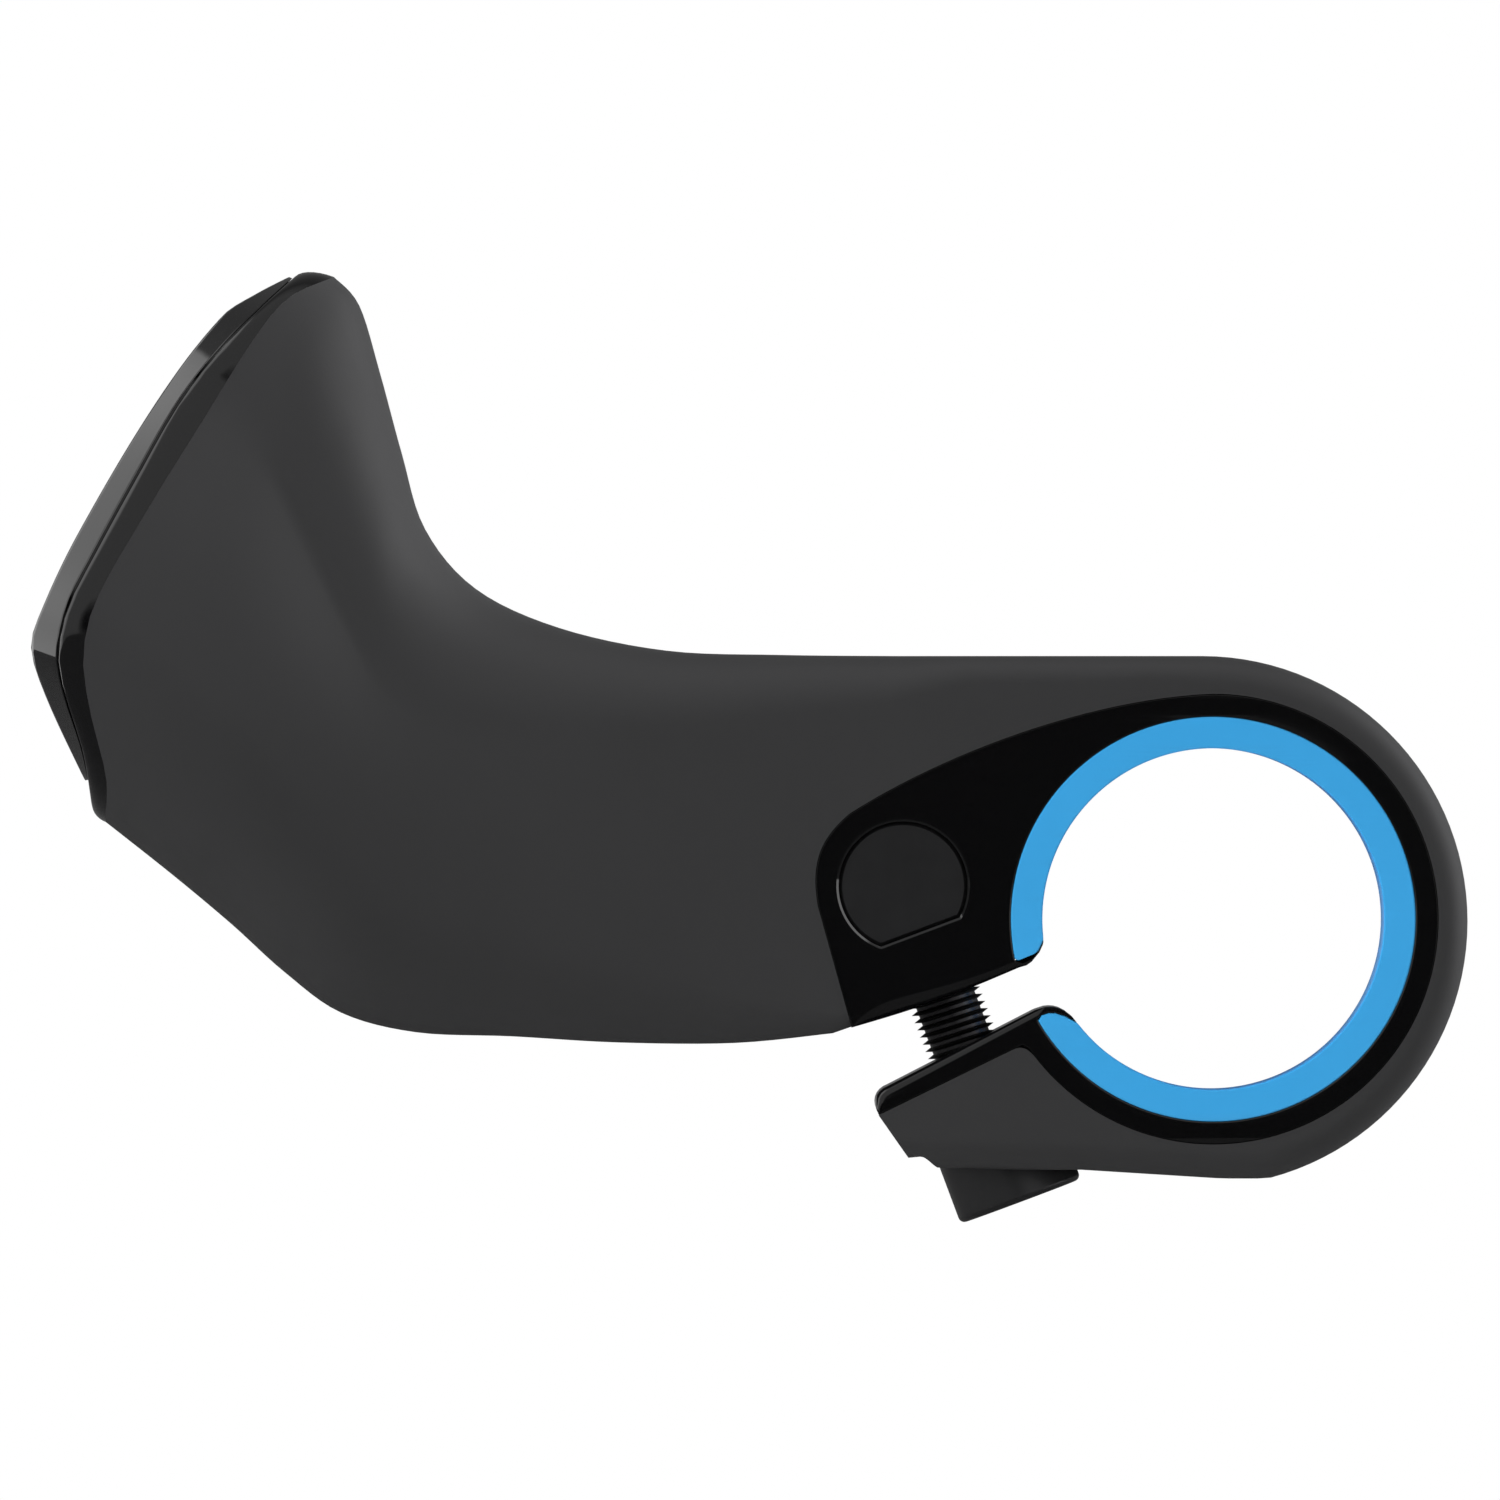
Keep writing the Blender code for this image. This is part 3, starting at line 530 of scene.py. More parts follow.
def moulded_finish(name, colour, roughness, mottle, grain_size, grain_depth, gloss=0.5):
    """Moulded plastic or rubber: faint mottling of its colour and shine, and a fine grain."""
    finish = bpy.data.materials.new(name)
    finish.use_nodes = True
    tree = finish.node_tree
    shader = tree.nodes["Principled BSDF"]
    shader.inputs["Specular IOR Level"].default_value = gloss
    place = add_node(tree, "ShaderNodeTexCoord").outputs["Object"]
    clouds = add_node(tree, "ShaderNodeTexNoise", [("Vector", place), ("Scale", 1.0 / (MOTTLE_SIZE * MM)),
                                                   ("Detail", 4.0), ("Roughness", 0.6)])
    darker = (*[c * (1 - mottle) for c in colour], 1.0)
    lighter = (*[c * (1 + mottle) for c in colour], 1.0)
    tint = add_node(tree, "ShaderNodeMix", [("Factor", clouds.outputs["Fac"]), ("A", darker),
                                            ("B", lighter)], data_type="RGBA")
    tree.links.new(tint.outputs["Result"], shader.inputs["Base Color"])
    shine = add_node(tree, "ShaderNodeMapRange", [("Value", clouds.outputs["Fac"]), ("From Min", 0.3),
                                                  ("From Max", 0.7),
                                                  ("To Min", roughness * (1 - SHINE_SPREAD)),
                                                  ("To Max", roughness * (1 + SHINE_SPREAD))])
    tree.links.new(shine.outputs["Result"], shader.inputs["Roughness"])
    grain = add_node(tree, "ShaderNodeTexNoise", [("Vector", place), ("Scale", 1.0 / (grain_size * MM)),
                                                  ("Detail", 3.0)])
    bump = add_node(tree, "ShaderNodeBump", [("Height", grain.outputs["Fac"]), ("Strength", 1.0),
                                             ("Distance", grain_depth * MM)])
    tree.links.new(bump.outputs["Normal"], shader.inputs["Normal"])
    return finish


skin_finish = moulded_finish("skin_rubber", (0.025, 0.025, 0.0258), 0.55, 0.05, 0.16, 0.004, gloss=0.25)
smooth(skin)
skin.data.materials.append(skin_finish)
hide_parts("grip_skin")
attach(skin, "frame")

# Clamp core: one hard, highly polished moulding. It is the rim round the horn's front, the
# horn's hollow inside, the split clamp ring and the two ears, with the toes beside the slit.
# It carries the nut in a cross hole and takes the screw through both ears.
PAD_HALF_WIDTH = 7.9
PAD_EDGE_ROUND = 0.1
BORE_EDGE_ROUND = 0.12
LIP_EDGE_ROUND = 0.04
TOE_EDGE_ROUND = 0.45
EAR_EDGE_ROUND = 0.6
# Round of the upper ear's bottom edge, as (share of the way from its toe to its corner, size)
EAR_FOOT_ROUNDS = (
    (0.1, 0.5), (0.2, 0.57), (0.3, 0.65), (0.4, 0.75), (0.5, 0.85),
    (0.6, 0.95), (0.7, 1.0), (0.8, 0.95), (0.88, 0.75), (0.94, 0.45),
)
SEAT_GAP = 0.3
CORE_INSET = SKIN_WALL + SEAT_GAP
CAVITY_WALL = 2.9
CAVITY_INSET = CORE_INSET + CAVITY_WALL
MOUTH_INSET = 4.0
MOUTH_OVERRUN = 4.0
PLUG_DEPTH = 3.5
EAR_CORE_FOOT = 0.6
BORE_OVERCUT = 0.5
CUT_OVERRUN = 1.0
RING_STEPS = 160
NUT_RADIUS = 4.2
NUT_FLAT = 3.2
NUT_FIT = -0.005
NUT_HOLE_FLARE = 0.14
SCREW_HOLE_RADIUS = 2.8
BLIND_DEPTH = 7.0
RIM_EDGE_BOW = (
    (0.0, 0.0), (0.08, 1.7), (0.16, 4.0), (0.22, 5.3), (0.31, 5.9),
    (0.4, 5.6), (0.57, 4.8), (0.73, 3.9), (0.85, 2.5), (1.0, 0.0),
)
RIM_STEPS = 8


def inward_steps(loop):
    """For each corner of a closed outline, the step that moves both its edges in by one."""
    steps = []
    for i, point in enumerate(loop):
        before, after = Vector(loop[i - 1]), Vector(loop[(i + 1) % len(loop)])
        coming = (Vector(point) - before).normalized()
        leaving = (after - Vector(point)).normalized()
        left_coming = Vector((-coming.y, coming.x))
        left_leaving = Vector((-leaving.y, leaving.x))
        steps.append((left_coming + left_leaving) / max(1.0 + left_coming.dot(left_leaving), 0.5))
    return steps


def plate(name, loops, half_width, edge, steps=5):
    """A side-view outline given thickness along Y, with its edges rounded, or cut if steps is 1.

    The first loop runs anticlockwise, and holes run clockwise. edge is one size, or one for
    each point of the only loop.
    """
    points = []
    faces = []
    tops = []
    for loop in loops:
        inward = inward_steps(loop)
        count = len(loop)
        first = len(points)
        sizes = edge if isinstance(edge, list) else [edge] * count
        rows = []
        for i in range(steps + 1):
            angle = math.pi / 2 * i / steps
            rows.append((1 - math.sin(angle), 1 - math.cos(angle), 1))
        rows += [(across, down, -1) for across, down, side in reversed(rows)]
        for across, down, side in rows:
            for point, step, size in zip(loop, inward, sizes):
                inset = size * across
                points.append((point[0] + step.x * inset, side * (half_width - size * down),
                               point[1] + step.y * inset))
        faces += walls(len(rows), count, first)
        tops.append((first, first + (len(rows) - 1) * count, count))
    for end in (0, 1):
        order = [top[end] + i for top in tops for i in range(top[2])]
        outlines = [[Vector(points[top[end] + i]) for i in range(top[2])] for top in tops]
        for triangle in tessellate_polygon(outlines):
            faces.append([order[i] for i in triangle])
    return mesh_piece(name, points, faces)


# The toes' thin lips curl round the liner's ends, as (radius, degrees) round the bar.
UPPER_LIP = ((11.13, 187.6), (11.2, 188.6), (11.5, 190.8), (12.12, 193.2), (12.5, 193.9))
LOWER_LIP = (
    (12.35, 207.5), (12.06, 208.05), (11.78, 208.9), (11.54, 210.05), (11.31, 211.9), (11.14, 214.5),
)
UPPER_TIP = ((13.15, 191.9), (12.7, 192.9), (12.1, 192.3), (11.5, 190.1), (11.12, 187.2))
LOWER_TIP = (
    (11.12, 217.0), (11.5, 213.2), (11.97, 210.6), (12.3, 209.7), (12.79, 209.2), (13.15, 209.6),
)


def round_bar(places):
    """Side-view points from (radius, degrees) round the bar."""
    return [ring_point(radius, angle) for radius, angle in places]


def core_pad_outline():
    """The whole glossy side face: split ring, both ears and the toes beside the slit.

    Gives its points and the size of the rounded edge at each.
    """
    left, top = LOWER_EAR_CORNER
    strip_end = ear_strip_edge()[-1]
    ear_top = (left + 0.5, top + 0.3)
    ear_end = curve(strip_end, (left - 0.6, top - 0.9), (left - 0.45, top - 0.05), ear_top, 8)
    bore_start, bore_end = LOWER_TIP[-1][1] + 1.0, UPPER_TIP[0][1] - 1.0 + 360.0
    parts = [
        (pad_outer_edge(), PAD_EDGE_ROUND),
        (ear_strip_edge()[:-1], PAD_EDGE_ROUND),
        (ear_end[:1], PAD_EDGE_ROUND),
        (ear_end[1:2], 0.2),
        (ear_end[2:3], 0.4),
        (ear_end[3:] + [ear_top], EAR_EDGE_ROUND),
        ([LOWER_EAR_TOE], TOE_EDGE_ROUND),
        (round_bar(LOWER_LIP), LIP_EDGE_ROUND),
        (round_bar(LOWER_TIP), LIP_EDGE_ROUND),
        (arc((0.0, 0.0), CORE_BORE, bore_start, bore_end, RING_STEPS), BORE_EDGE_ROUND),
        (round_bar(UPPER_TIP), LIP_EDGE_ROUND),
        (round_bar(UPPER_LIP), LIP_EDGE_ROUND),
        ([UPPER_EAR_TOE], TOE_EDGE_ROUND),
    ]
    for share, size in EAR_FOOT_ROUNDS:
        x = UPPER_EAR_TOE[0] + (UPPER_EAR_CORNER[0] - UPPER_EAR_TOE[0]) * share
        z = UPPER_EAR_TOE[1] + (UPPER_EAR_CORNER[1] - UPPER_EAR_TOE[1]) * share
        parts.append(([(x, z - EAR_BULGE * math.sin(math.pi * share))], size))
    points = []
    sizes = []
    for places, size in parts:
        points += places
        sizes += [size] * len(places)
    return points[::-1], sizes[::-1]


def round_edge(back, front, steps):
    """Cross-sections that turn in an even round from the front one to the back one."""
    forward = off_the_chord(RIM_FRONT)
    sides = []
    for i in range(steps + 1):
        angle = math.pi / 2 * i / steps
        side = []
        for low, high in zip(back, front):
            step = high - low
            ahead = forward * step.dot(forward)
            side.append(low + ahead * math.cos(angle) + (step - ahead) * (1 - math.sin(angle)))
        sides.append(side)
    return sides


def nut_outline(grow, steps=72):
    """Round with one flat that faces the screw's head."""
    flat = NUT_FLAT + grow
    radius = NUT_RADIUS + grow
    spread = math.degrees(math.acos(flat / radius))
    facing = -90.0 + SCREW_LEAN_DEG
    return arc(NUT_CENTRE, radius, facing + spread, facing - spread + 360.0, steps)


def nut_hole():
    """The cross hole for the nut, snug inside and widened a little at both faces."""
    mouth = nut_outline(NUT_HOLE_FLARE)
    snug = nut_outline(NUT_FIT)
    deep = PAD_HALF_WIDTH - NUT_HOLE_FLARE
    rings = [(mouth, -PAD_HALF_WIDTH - CUT_OVERRUN), (mouth, -PAD_HALF_WIDTH), (snug, -deep),
             (snug, deep), (mouth, PAD_HALF_WIDTH), (mouth, PAD_HALF_WIDTH + CUT_OVERRUN)]
    count = len(snug)
    points = [(x, y, z) for outline, y in rings for x, z in outline]
    last = (len(rings) - 1) * count
    faces = [list(range(count)), [last + i for i in reversed(range(count))]]
    return mesh_piece("nut_hole", points, faces + walls(len(rings), count))


horn_rows = between(HORN_AND_ARM, KEY_STEPS)
core_sides = [rungs(row, CORE_INSET) for row in horn_rows]
core = loft("core", [ahead_of_horn(core_sides[0], RIM_STEP)] + core_sides)
rim_back = ahead_of_horn(rungs(SKIN_FRONT), SKIN_SEAM)
rim_front = rungs(RIM_FRONT, profile=RIM_EDGE_BOW)
combine(core, loft("rim", round_edge(rim_back, rim_front, RIM_STEPS)), "UNION")
pad_outline, pad_edges = core_pad_outline()
combine(core, plate("pads", [pad_outline], PAD_HALF_WIDTH, pad_edges), "UNION")
ear = loft("ear", ear_block(CORE_INSET, EAR_CORE_FOOT))
bore = arc((0.0, 0.0), CORE_BORE + BORE_OVERCUT, 0.0, 360.0, 120)[:-1]
combine(ear, slab("bore", bore, 2 * CLAMP_HALF_WIDTH), "DIFFERENCE")
combine(core, ear, "UNION")
mouth = rungs(RIM_FRONT, MOUTH_INSET, RIM_EDGE_BOW)
cavity = [ahead_of_horn(mouth, MOUTH_OVERRUN), ahead_of_horn(mouth, -PLUG_DEPTH - SEAT_GAP)]
cavity += [rungs(row, CAVITY_INSET) for row in HORN_AND_ARM[2:6]]
combine(core, loft("cavity", cavity), "DIFFERENCE")
combine(core, nut_hole(), "DIFFERENCE")
hole_profile = ((SCREW_HOLE_RADIUS, -BLIND_DEPTH), (SCREW_HOLE_RADIUS, POCKET_FLOOR + CUT_OVERRUN))
combine(core, turned("screw_hole", hole_profile), "DIFFERENCE")
combine(core, screw_pocket(), "DIFFERENCE")
smooth(core, 40.0, flat_faces=True)
core_finish = moulded_finish("core_black", (0.0024, 0.0024, 0.0026), 0.08, 0.1, 3.0, 0.004)
core.data.materials.append(core_finish)
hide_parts("clamp_core")
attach(core, "frame")

# End cap: a faceted high-gloss moulding that closes the horn's front. A plug on its back is
# pressed into the core's mouth, and a fine shadow line is left between cap and rim.
CAP_BEVEL = 3.4
CAP_GAP = 0.12
CAP_STAND_OFF = 0.35
CAP_FACE_INSET = 0.5
CAP_FOOT_INSET = 1.2
CAP_SEAM_DEPTH = 0.3
CAP_OVERLAP = 0.01
CAP_FACE_BOW = (
    (0.0, 0.0), (0.12, 4.45), (0.19, 6.4), (0.26, 6.68), (0.42, 6.35),
    (0.71, 4.8), (0.89, 3.0), (0.95, 1.5), (1.0, 0.0),
)
CAP_STEPS = (16, 16)
CAP_FACE = front_section((1.396, 0.645), RIM_STEP + CAP_BEVEL)


def fillet(start, corner, end, steps=4):
    """Cross-sections that round a corner from one cross-section to the next but one."""
    sides = []
    for i in range(steps + 1):
        t = i / steps
        a, b, c = (1 - t) ** 2, 2 * t * (1 - t), t * t
        sides.append([p * a + q * b + r * c for p, q, r in zip(start, corner, end)])
    return sides


def part_way(start, end, share):
    """A cross-section this share of the way from one to another."""
    return [p.lerp(q, share) for p, q in zip(start, end)]


def cap_edge(inset, distance):
    """The cap's back edge, which follows the rim's front edge at this distance ahead of it."""
    side = rungs(RIM_FRONT, inset, RIM_EDGE_BOW, CAP_FOOT_INSET + inset, CAP_STEPS)
    return ahead_of_horn(side, distance)


cap_face = ahead_of_horn(rungs(CAP_FACE, 0.0, CAP_FACE_BOW, steps=CAP_STEPS), CAP_STAND_OFF)
cap_inner = ahead_of_horn(rungs(CAP_FACE, CAP_FACE_INSET, CAP_FACE_BOW, steps=CAP_STEPS), CAP_STAND_OFF)
cap_back = cap_edge(0.0, CAP_GAP)
cap_heel = cap_edge(CAP_SEAM_DEPTH, CAP_GAP)
cap_step = cap_edge(CAP_SEAM_DEPTH, -CAP_OVERLAP)
cap_sides = fillet(cap_inner, cap_face, part_way(cap_face, cap_back, 0.1))
cap_sides += fillet(part_way(cap_face, cap_back, 0.92), cap_back, cap_heel)
cap_sides.append(cap_step)
cap = loft("cap", cap_sides)
plug = rungs(RIM_FRONT, MOUTH_INSET + SEAT_GAP, RIM_EDGE_BOW)
combine(cap, loft("plug", [ahead_of_horn(plug, 3 * CAP_GAP), ahead_of_horn(plug, -PLUG_DEPTH)]), "UNION")
smooth(cap, 40.0, flat_faces=True)
cap_finish = moulded_finish("cap_black", (0.004, 0.004, 0.0042), 0.05, 0.1, 4.0, 0.003)
cap.data.materials.append(cap_finish)
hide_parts("end_cap")
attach(cap, "frame")

# Bar liner: a split sleeve of satin blue plastic between the core and the handlebar. It is
# pushed into the ring, and its ends are rounded off at the slit.
LINER_EDGE_ROUND = 0.12
LINER_FIT = -0.005


def liner_outline():
    """The sleeve seen from the side, its ends rounded where the toes' lips hold them."""
    start, end = LOWER_TIP[-1][1] + 0.6, UPPER_TIP[0][1] - 0.6 + 360.0
    points = arc((0.0, 0.0), CORE_BORE - LINER_FIT, start, end, RING_STEPS)
    points += [ring_point(radius - LINER_FIT, angle) for radius, angle in UPPER_TIP[1:]]
    start, end = UPPER_TIP[-1][1] - 1.5 + 360.0, LOWER_TIP[0][1] + 1.5
    points += arc((0.0, 0.0), BAR_RADIUS, start, end, RING_STEPS)
    points += [ring_point(radius - LINER_FIT, angle) for radius, angle in LOWER_TIP[:-1]]
    return points


liner = plate("liner", [liner_outline()], PAD_HALF_WIDTH, LINER_EDGE_ROUND)
smooth(liner, 40.0, flat_faces=True)
liner_finish = moulded_finish("liner_blue", (0.029, 0.29, 0.602), 0.4, 0.03, 0.2, 0.004, gloss=0.3)
liner.data.materials.append(liner_finish)
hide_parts("bar_liner")
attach(liner, "frame")

# Barrel nut: a black-plated steel pin with one flat, laid across the upper ear and
# cross-drilled for the screw. Its faces are lathe turned, so they have fine rings.
NUT_HALF_LENGTH = 7.7
NUT_CHAMFER = 0.25
NUT_THREAD_RADIUS = 2.5
STEEL_MOTTLE = 0.07
STEEL_MOTTLE_SCALE = 700.0


def turned_steel_finish(name, colour, roughness, ring_pitch, ring_depth, centre, turn):
    """Black-plated steel with the fine rings of a lathe round the piece's own axis."""
    finish = bpy.data.materials.new(name)
    finish.use_nodes = True
    tree = finish.node_tree
    shader = tree.nodes["Principled BSDF"]
    shader.inputs["Metallic"].default_value = 0.9
    place = add_node(tree, "ShaderNodeTexCoord").outputs["Object"]
    local = add_node(tree, "ShaderNodeMapping", [("Vector", place), ("Location", centre),
                                                 ("Rotation", turn)], vector_type="TEXTURE")
    rings = add_node(tree, "ShaderNodeTexWave", [("Vector", local.outputs["Vector"]),
                                                 ("Scale", 0.05 / (ring_pitch * MM)), ("Distortion", 0.6),
                                                 ("Detail", 2.0)], wave_type="RINGS", rings_direction="Z")
    clouds = add_node(tree, "ShaderNodeTexNoise", [("Vector", place), ("Scale", STEEL_MOTTLE_SCALE),
                                                   ("Detail", 4.0)])
    darker = (*[c * (1 - STEEL_MOTTLE) for c in colour], 1.0)
    lighter = (*[c * (1 + STEEL_MOTTLE) for c in colour], 1.0)
    tint = add_node(tree, "ShaderNodeMix", [("Factor", clouds.outputs["Fac"]), ("A", darker),
                                            ("B", lighter)], data_type="RGBA")
    tree.links.new(tint.outputs["Result"], shader.inputs["Base Color"])
    shine = add_node(tree, "ShaderNodeMapRange", [("Value", clouds.outputs["Fac"]),
                                                  ("To Min", roughness * (1 - SHINE_SPREAD)),
                                                  ("To Max", roughness * (1 + SHINE_SPREAD))])
    tree.links.new(shine.outputs["Result"], shader.inputs["Roughness"])
    bump = add_node(tree, "ShaderNodeBump", [("Height", rings.outputs["Fac"]), ("Strength", 0.6),
                                             ("Distance", ring_depth * MM)])
    tree.links.new(bump.outputs["Normal"], shader.inputs["Normal"])
    return finish


nut = plate("nut", [nut_outline(0.0)], NUT_HALF_LENGTH, NUT_CHAMFER, steps=1)
thread_profile = ((NUT_THREAD_RADIUS, -2 * NUT_RADIUS), (NUT_THREAD_RADIUS, 2 * NUT_RADIUS))
combine(nut, turned("thread_hole", thread_profile), "DIFFERENCE")
smooth(nut, 30.0, flat_faces=True)
nut_finish = turned_steel_finish("nut_steel", (0.05, 0.05, 0.052), 0.35, 0.12, 0.002, SCREW_START * MM,
                                 (math.radians(90.0), 0.0, 0.0))
nut.data.materials.append(nut_finish)
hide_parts("barrel_nut")
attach(nut, "frame")

# Clamp screw: a black-plated socket-head screw. It goes up through the lower ear's pocket
# and washer into the barrel nut, and its rolled thread shows in the slit.
SCREW_TIP = -3.4
TIP_CHAMFER = 0.4
NECK_FLARE = 0.3
THREAD_ROOT_RADIUS = 1.98
THREAD_CREST_RADIUS = 2.42
THREAD_PITCH = 0.5
THREAD_START = SCREW_TIP + 0.56
THREAD_RUN_OUT = 1.2
HEAD_RADIUS = 4.18
HEAD_HEIGHT = 5.0
HEAD_SEAT = HEAD_END - HEAD_HEIGHT
HEAD_CHAMFER = 0.15
HEX_ACROSS_FLATS = 4.0
HEX_DEPTH = 2.6
HEX_CHAMFER = 0.25
HEAD_EDGE_ROUND = 0.4
SCREW_TURN = (0.0, math.radians(180.0 - SCREW_LEAN_DEG), 0.0)


def thread_tree():
    """Geometry nodes: one pointed ridge wound round the shank."""
    tree = bpy.data.node_groups.new("screw_thread", "GeometryNodeTree")
    for label, kind in (("Turns", "NodeSocketFloat"), ("Pitch", "NodeSocketFloat"),
                        ("Root Radius", "NodeSocketFloat"), ("Ridge Height", "NodeSocketFloat"),
                        ("Finish", "NodeSocketMaterial")):
        tree.interface.new_socket(label, in_out="INPUT", socket_type=kind)
    tree.interface.new_socket("Geometry", in_out="OUTPUT", socket_type="NodeSocketGeometry")
    given = tree.nodes.new("NodeGroupInput")
    height = add_node(tree, "ShaderNodeMath", [(0, given.outputs["Turns"]), (1, given.outputs["Pitch"])],
                      operation="MULTIPLY")
    spiral = add_node(tree, "GeometryNodeCurveSpiral", [
        ("Resolution", 48), ("Rotations", given.outputs["Turns"]),
        ("Start Radius", given.outputs["Root Radius"]), ("End Radius", given.outputs["Root Radius"]),
        ("Height", height.outputs["Value"])])
    upright = add_node(tree, "GeometryNodeSetCurveNormal", [("Curve", spiral.outputs["Curve"])],
                       mode="Z_UP")
    triangle = add_node(tree, "GeometryNodeCurvePrimitiveCircle", [
        ("Resolution", 3), ("Radius", given.outputs["Ridge Height"])], mode="RADIUS")
    ridge = add_node(tree, "GeometryNodeTransform", [("Geometry", triangle.outputs["Curve"]),
                                                     ("Rotation", (0.0, 0.0, math.pi)),
                                                     ("Scale", (1.0, 0.6, 1.0))])
    swept = add_node(tree, "GeometryNodeCurveToMesh", [
        ("Curve", upright.outputs["Curve"]), ("Profile Curve", ridge.outputs["Geometry"]),
        ("Fill Caps", True)])
    real = add_node(tree, "GeometryNodeRealizeInstances", [("Geometry", swept.outputs["Mesh"])])
    coated = add_node(tree, "GeometryNodeSetMaterial", [("Geometry", real.outputs["Geometry"]),
                                                        ("Material", given.outputs["Finish"])])
    add_node(tree, "NodeGroupOutput", [("Geometry", coated.outputs["Geometry"])])
    return tree


def wound_thread(finish):
    """The thread's ridge as a mesh, from the tip to just under the head."""
    tree = thread_tree()
    thread = bpy.data.objects.new("thread", bpy.data.meshes.new("thread"))
    bpy.context.scene.collection.objects.link(thread)
    winding = thread.modifiers.new("winding", "NODES")
    winding.node_group = tree
    sizes = {
        "Turns": (HEAD_SEAT - THREAD_START - THREAD_RUN_OUT) / THREAD_PITCH,
        "Pitch": THREAD_PITCH * MM,
        "Root Radius": THREAD_ROOT_RADIUS * MM,
        "Ridge Height": (THREAD_CREST_RADIUS - THREAD_ROOT_RADIUS) * MM,
        "Finish": finish,
    }
    for item in tree.interface.items_tree:
        if item.in_out == "INPUT":
            winding[item.identifier] = sizes[item.name]
    bake_modifiers(thread)
    turn = Matrix.Rotation(SCREW_TURN[1], 4, "Y")
    start = SCREW_START * MM + SCREW_DOWN * THREAD_START * MM
    thread.data.transform(Matrix.Translation(start) @ turn)
    return thread


round_centre = (HEAD_RADIUS - HEAD_EDGE_ROUND, HEAD_END - HEAD_EDGE_ROUND)
head_edge = arc(round_centre, HEAD_EDGE_ROUND, 0, 90, 6)
screw_profile = [
    (THREAD_ROOT_RADIUS - TIP_CHAMFER, SCREW_TIP), (THREAD_ROOT_RADIUS, SCREW_TIP + TIP_CHAMFER),
    (THREAD_ROOT_RADIUS, HEAD_SEAT - NECK_FLARE), (THREAD_ROOT_RADIUS + NECK_FLARE, HEAD_SEAT),
    (HEAD_RADIUS - HEAD_CHAMFER, HEAD_SEAT), (HEAD_RADIUS, HEAD_SEAT + HEAD_CHAMFER),
] + head_edge
screw = turned("screw", screw_profile)
hex_corner = HEX_ACROSS_FLATS / 2 / math.cos(math.radians(30))
socket_profile = (
    (hex_corner, HEAD_END - HEX_DEPTH), (hex_corner, HEAD_END - HEX_CHAMFER),
    (hex_corner + 2 * HEX_CHAMFER, HEAD_END + HEX_CHAMFER),
)
combine(screw, turned("socket", socket_profile, 6), "DIFFERENCE")
screw_finish = turned_steel_finish("screw_steel", (0.06, 0.06, 0.062), 0.4, 0.15, 0.002, SCREW_START * MM,
                                   SCREW_TURN)
screw.data.materials.append(screw_finish)
combine(screw, wound_thread(screw_finish), "UNION")
smooth(screw, 35.0, flat_faces=True)
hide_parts("clamp_screw")
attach(screw, "screw")

# Washer: a plain zinc-plated steel ring under the screw's head, at the bottom of its pocket.
washer_finish = turned_steel_finish("washer_steel", (0.3, 0.3, 0.31), 0.35, 0.2, 0.002, SCREW_START * MM,
                                    SCREW_TURN)
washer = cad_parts["screw_washer"]
washer.data.materials.clear()
washer.data.materials.append(washer_finish)

# Studio: a pale round floor that fades into the white backdrop, and three soft lights: above,
# low at the right behind the clamp, and at the left before the horn. Sizes are in metres.
FLOOR_LEVEL = -0.058
FLOOR_RADIUS = 0.6
FLOOR_FADE = (0.15, 0.5)
FLOOR_TONE = 0.84
FLOOR_REFLECTED = 0.14
# The frame's middle (x, z), and its width at the clamp's near face
VIEW_CENTRE = (-0.0301, 0.01099)
VIEW_WIDTH = 0.0975
VIEW_DISTANCE = 3.0
NEAR_FACE = 0.0066
SENSOR_WIDTH = 36.0
# Brightness of the backdrop, where 1 is white: on matt surfaces, then what glossy ones reflect
SOFT_LIGHT = 0.3
ROOM = 0.65
ROOM_AT_LENS = 0.01
ROOM_BEHIND = 0.25 * ROOM
ROOM_BELOW = 0.22
LEFT_WALL = 2.0
RIGHT_WALL = 2.5
CARD_TOP, CARD_MIDDLE = 0.85, 1.35


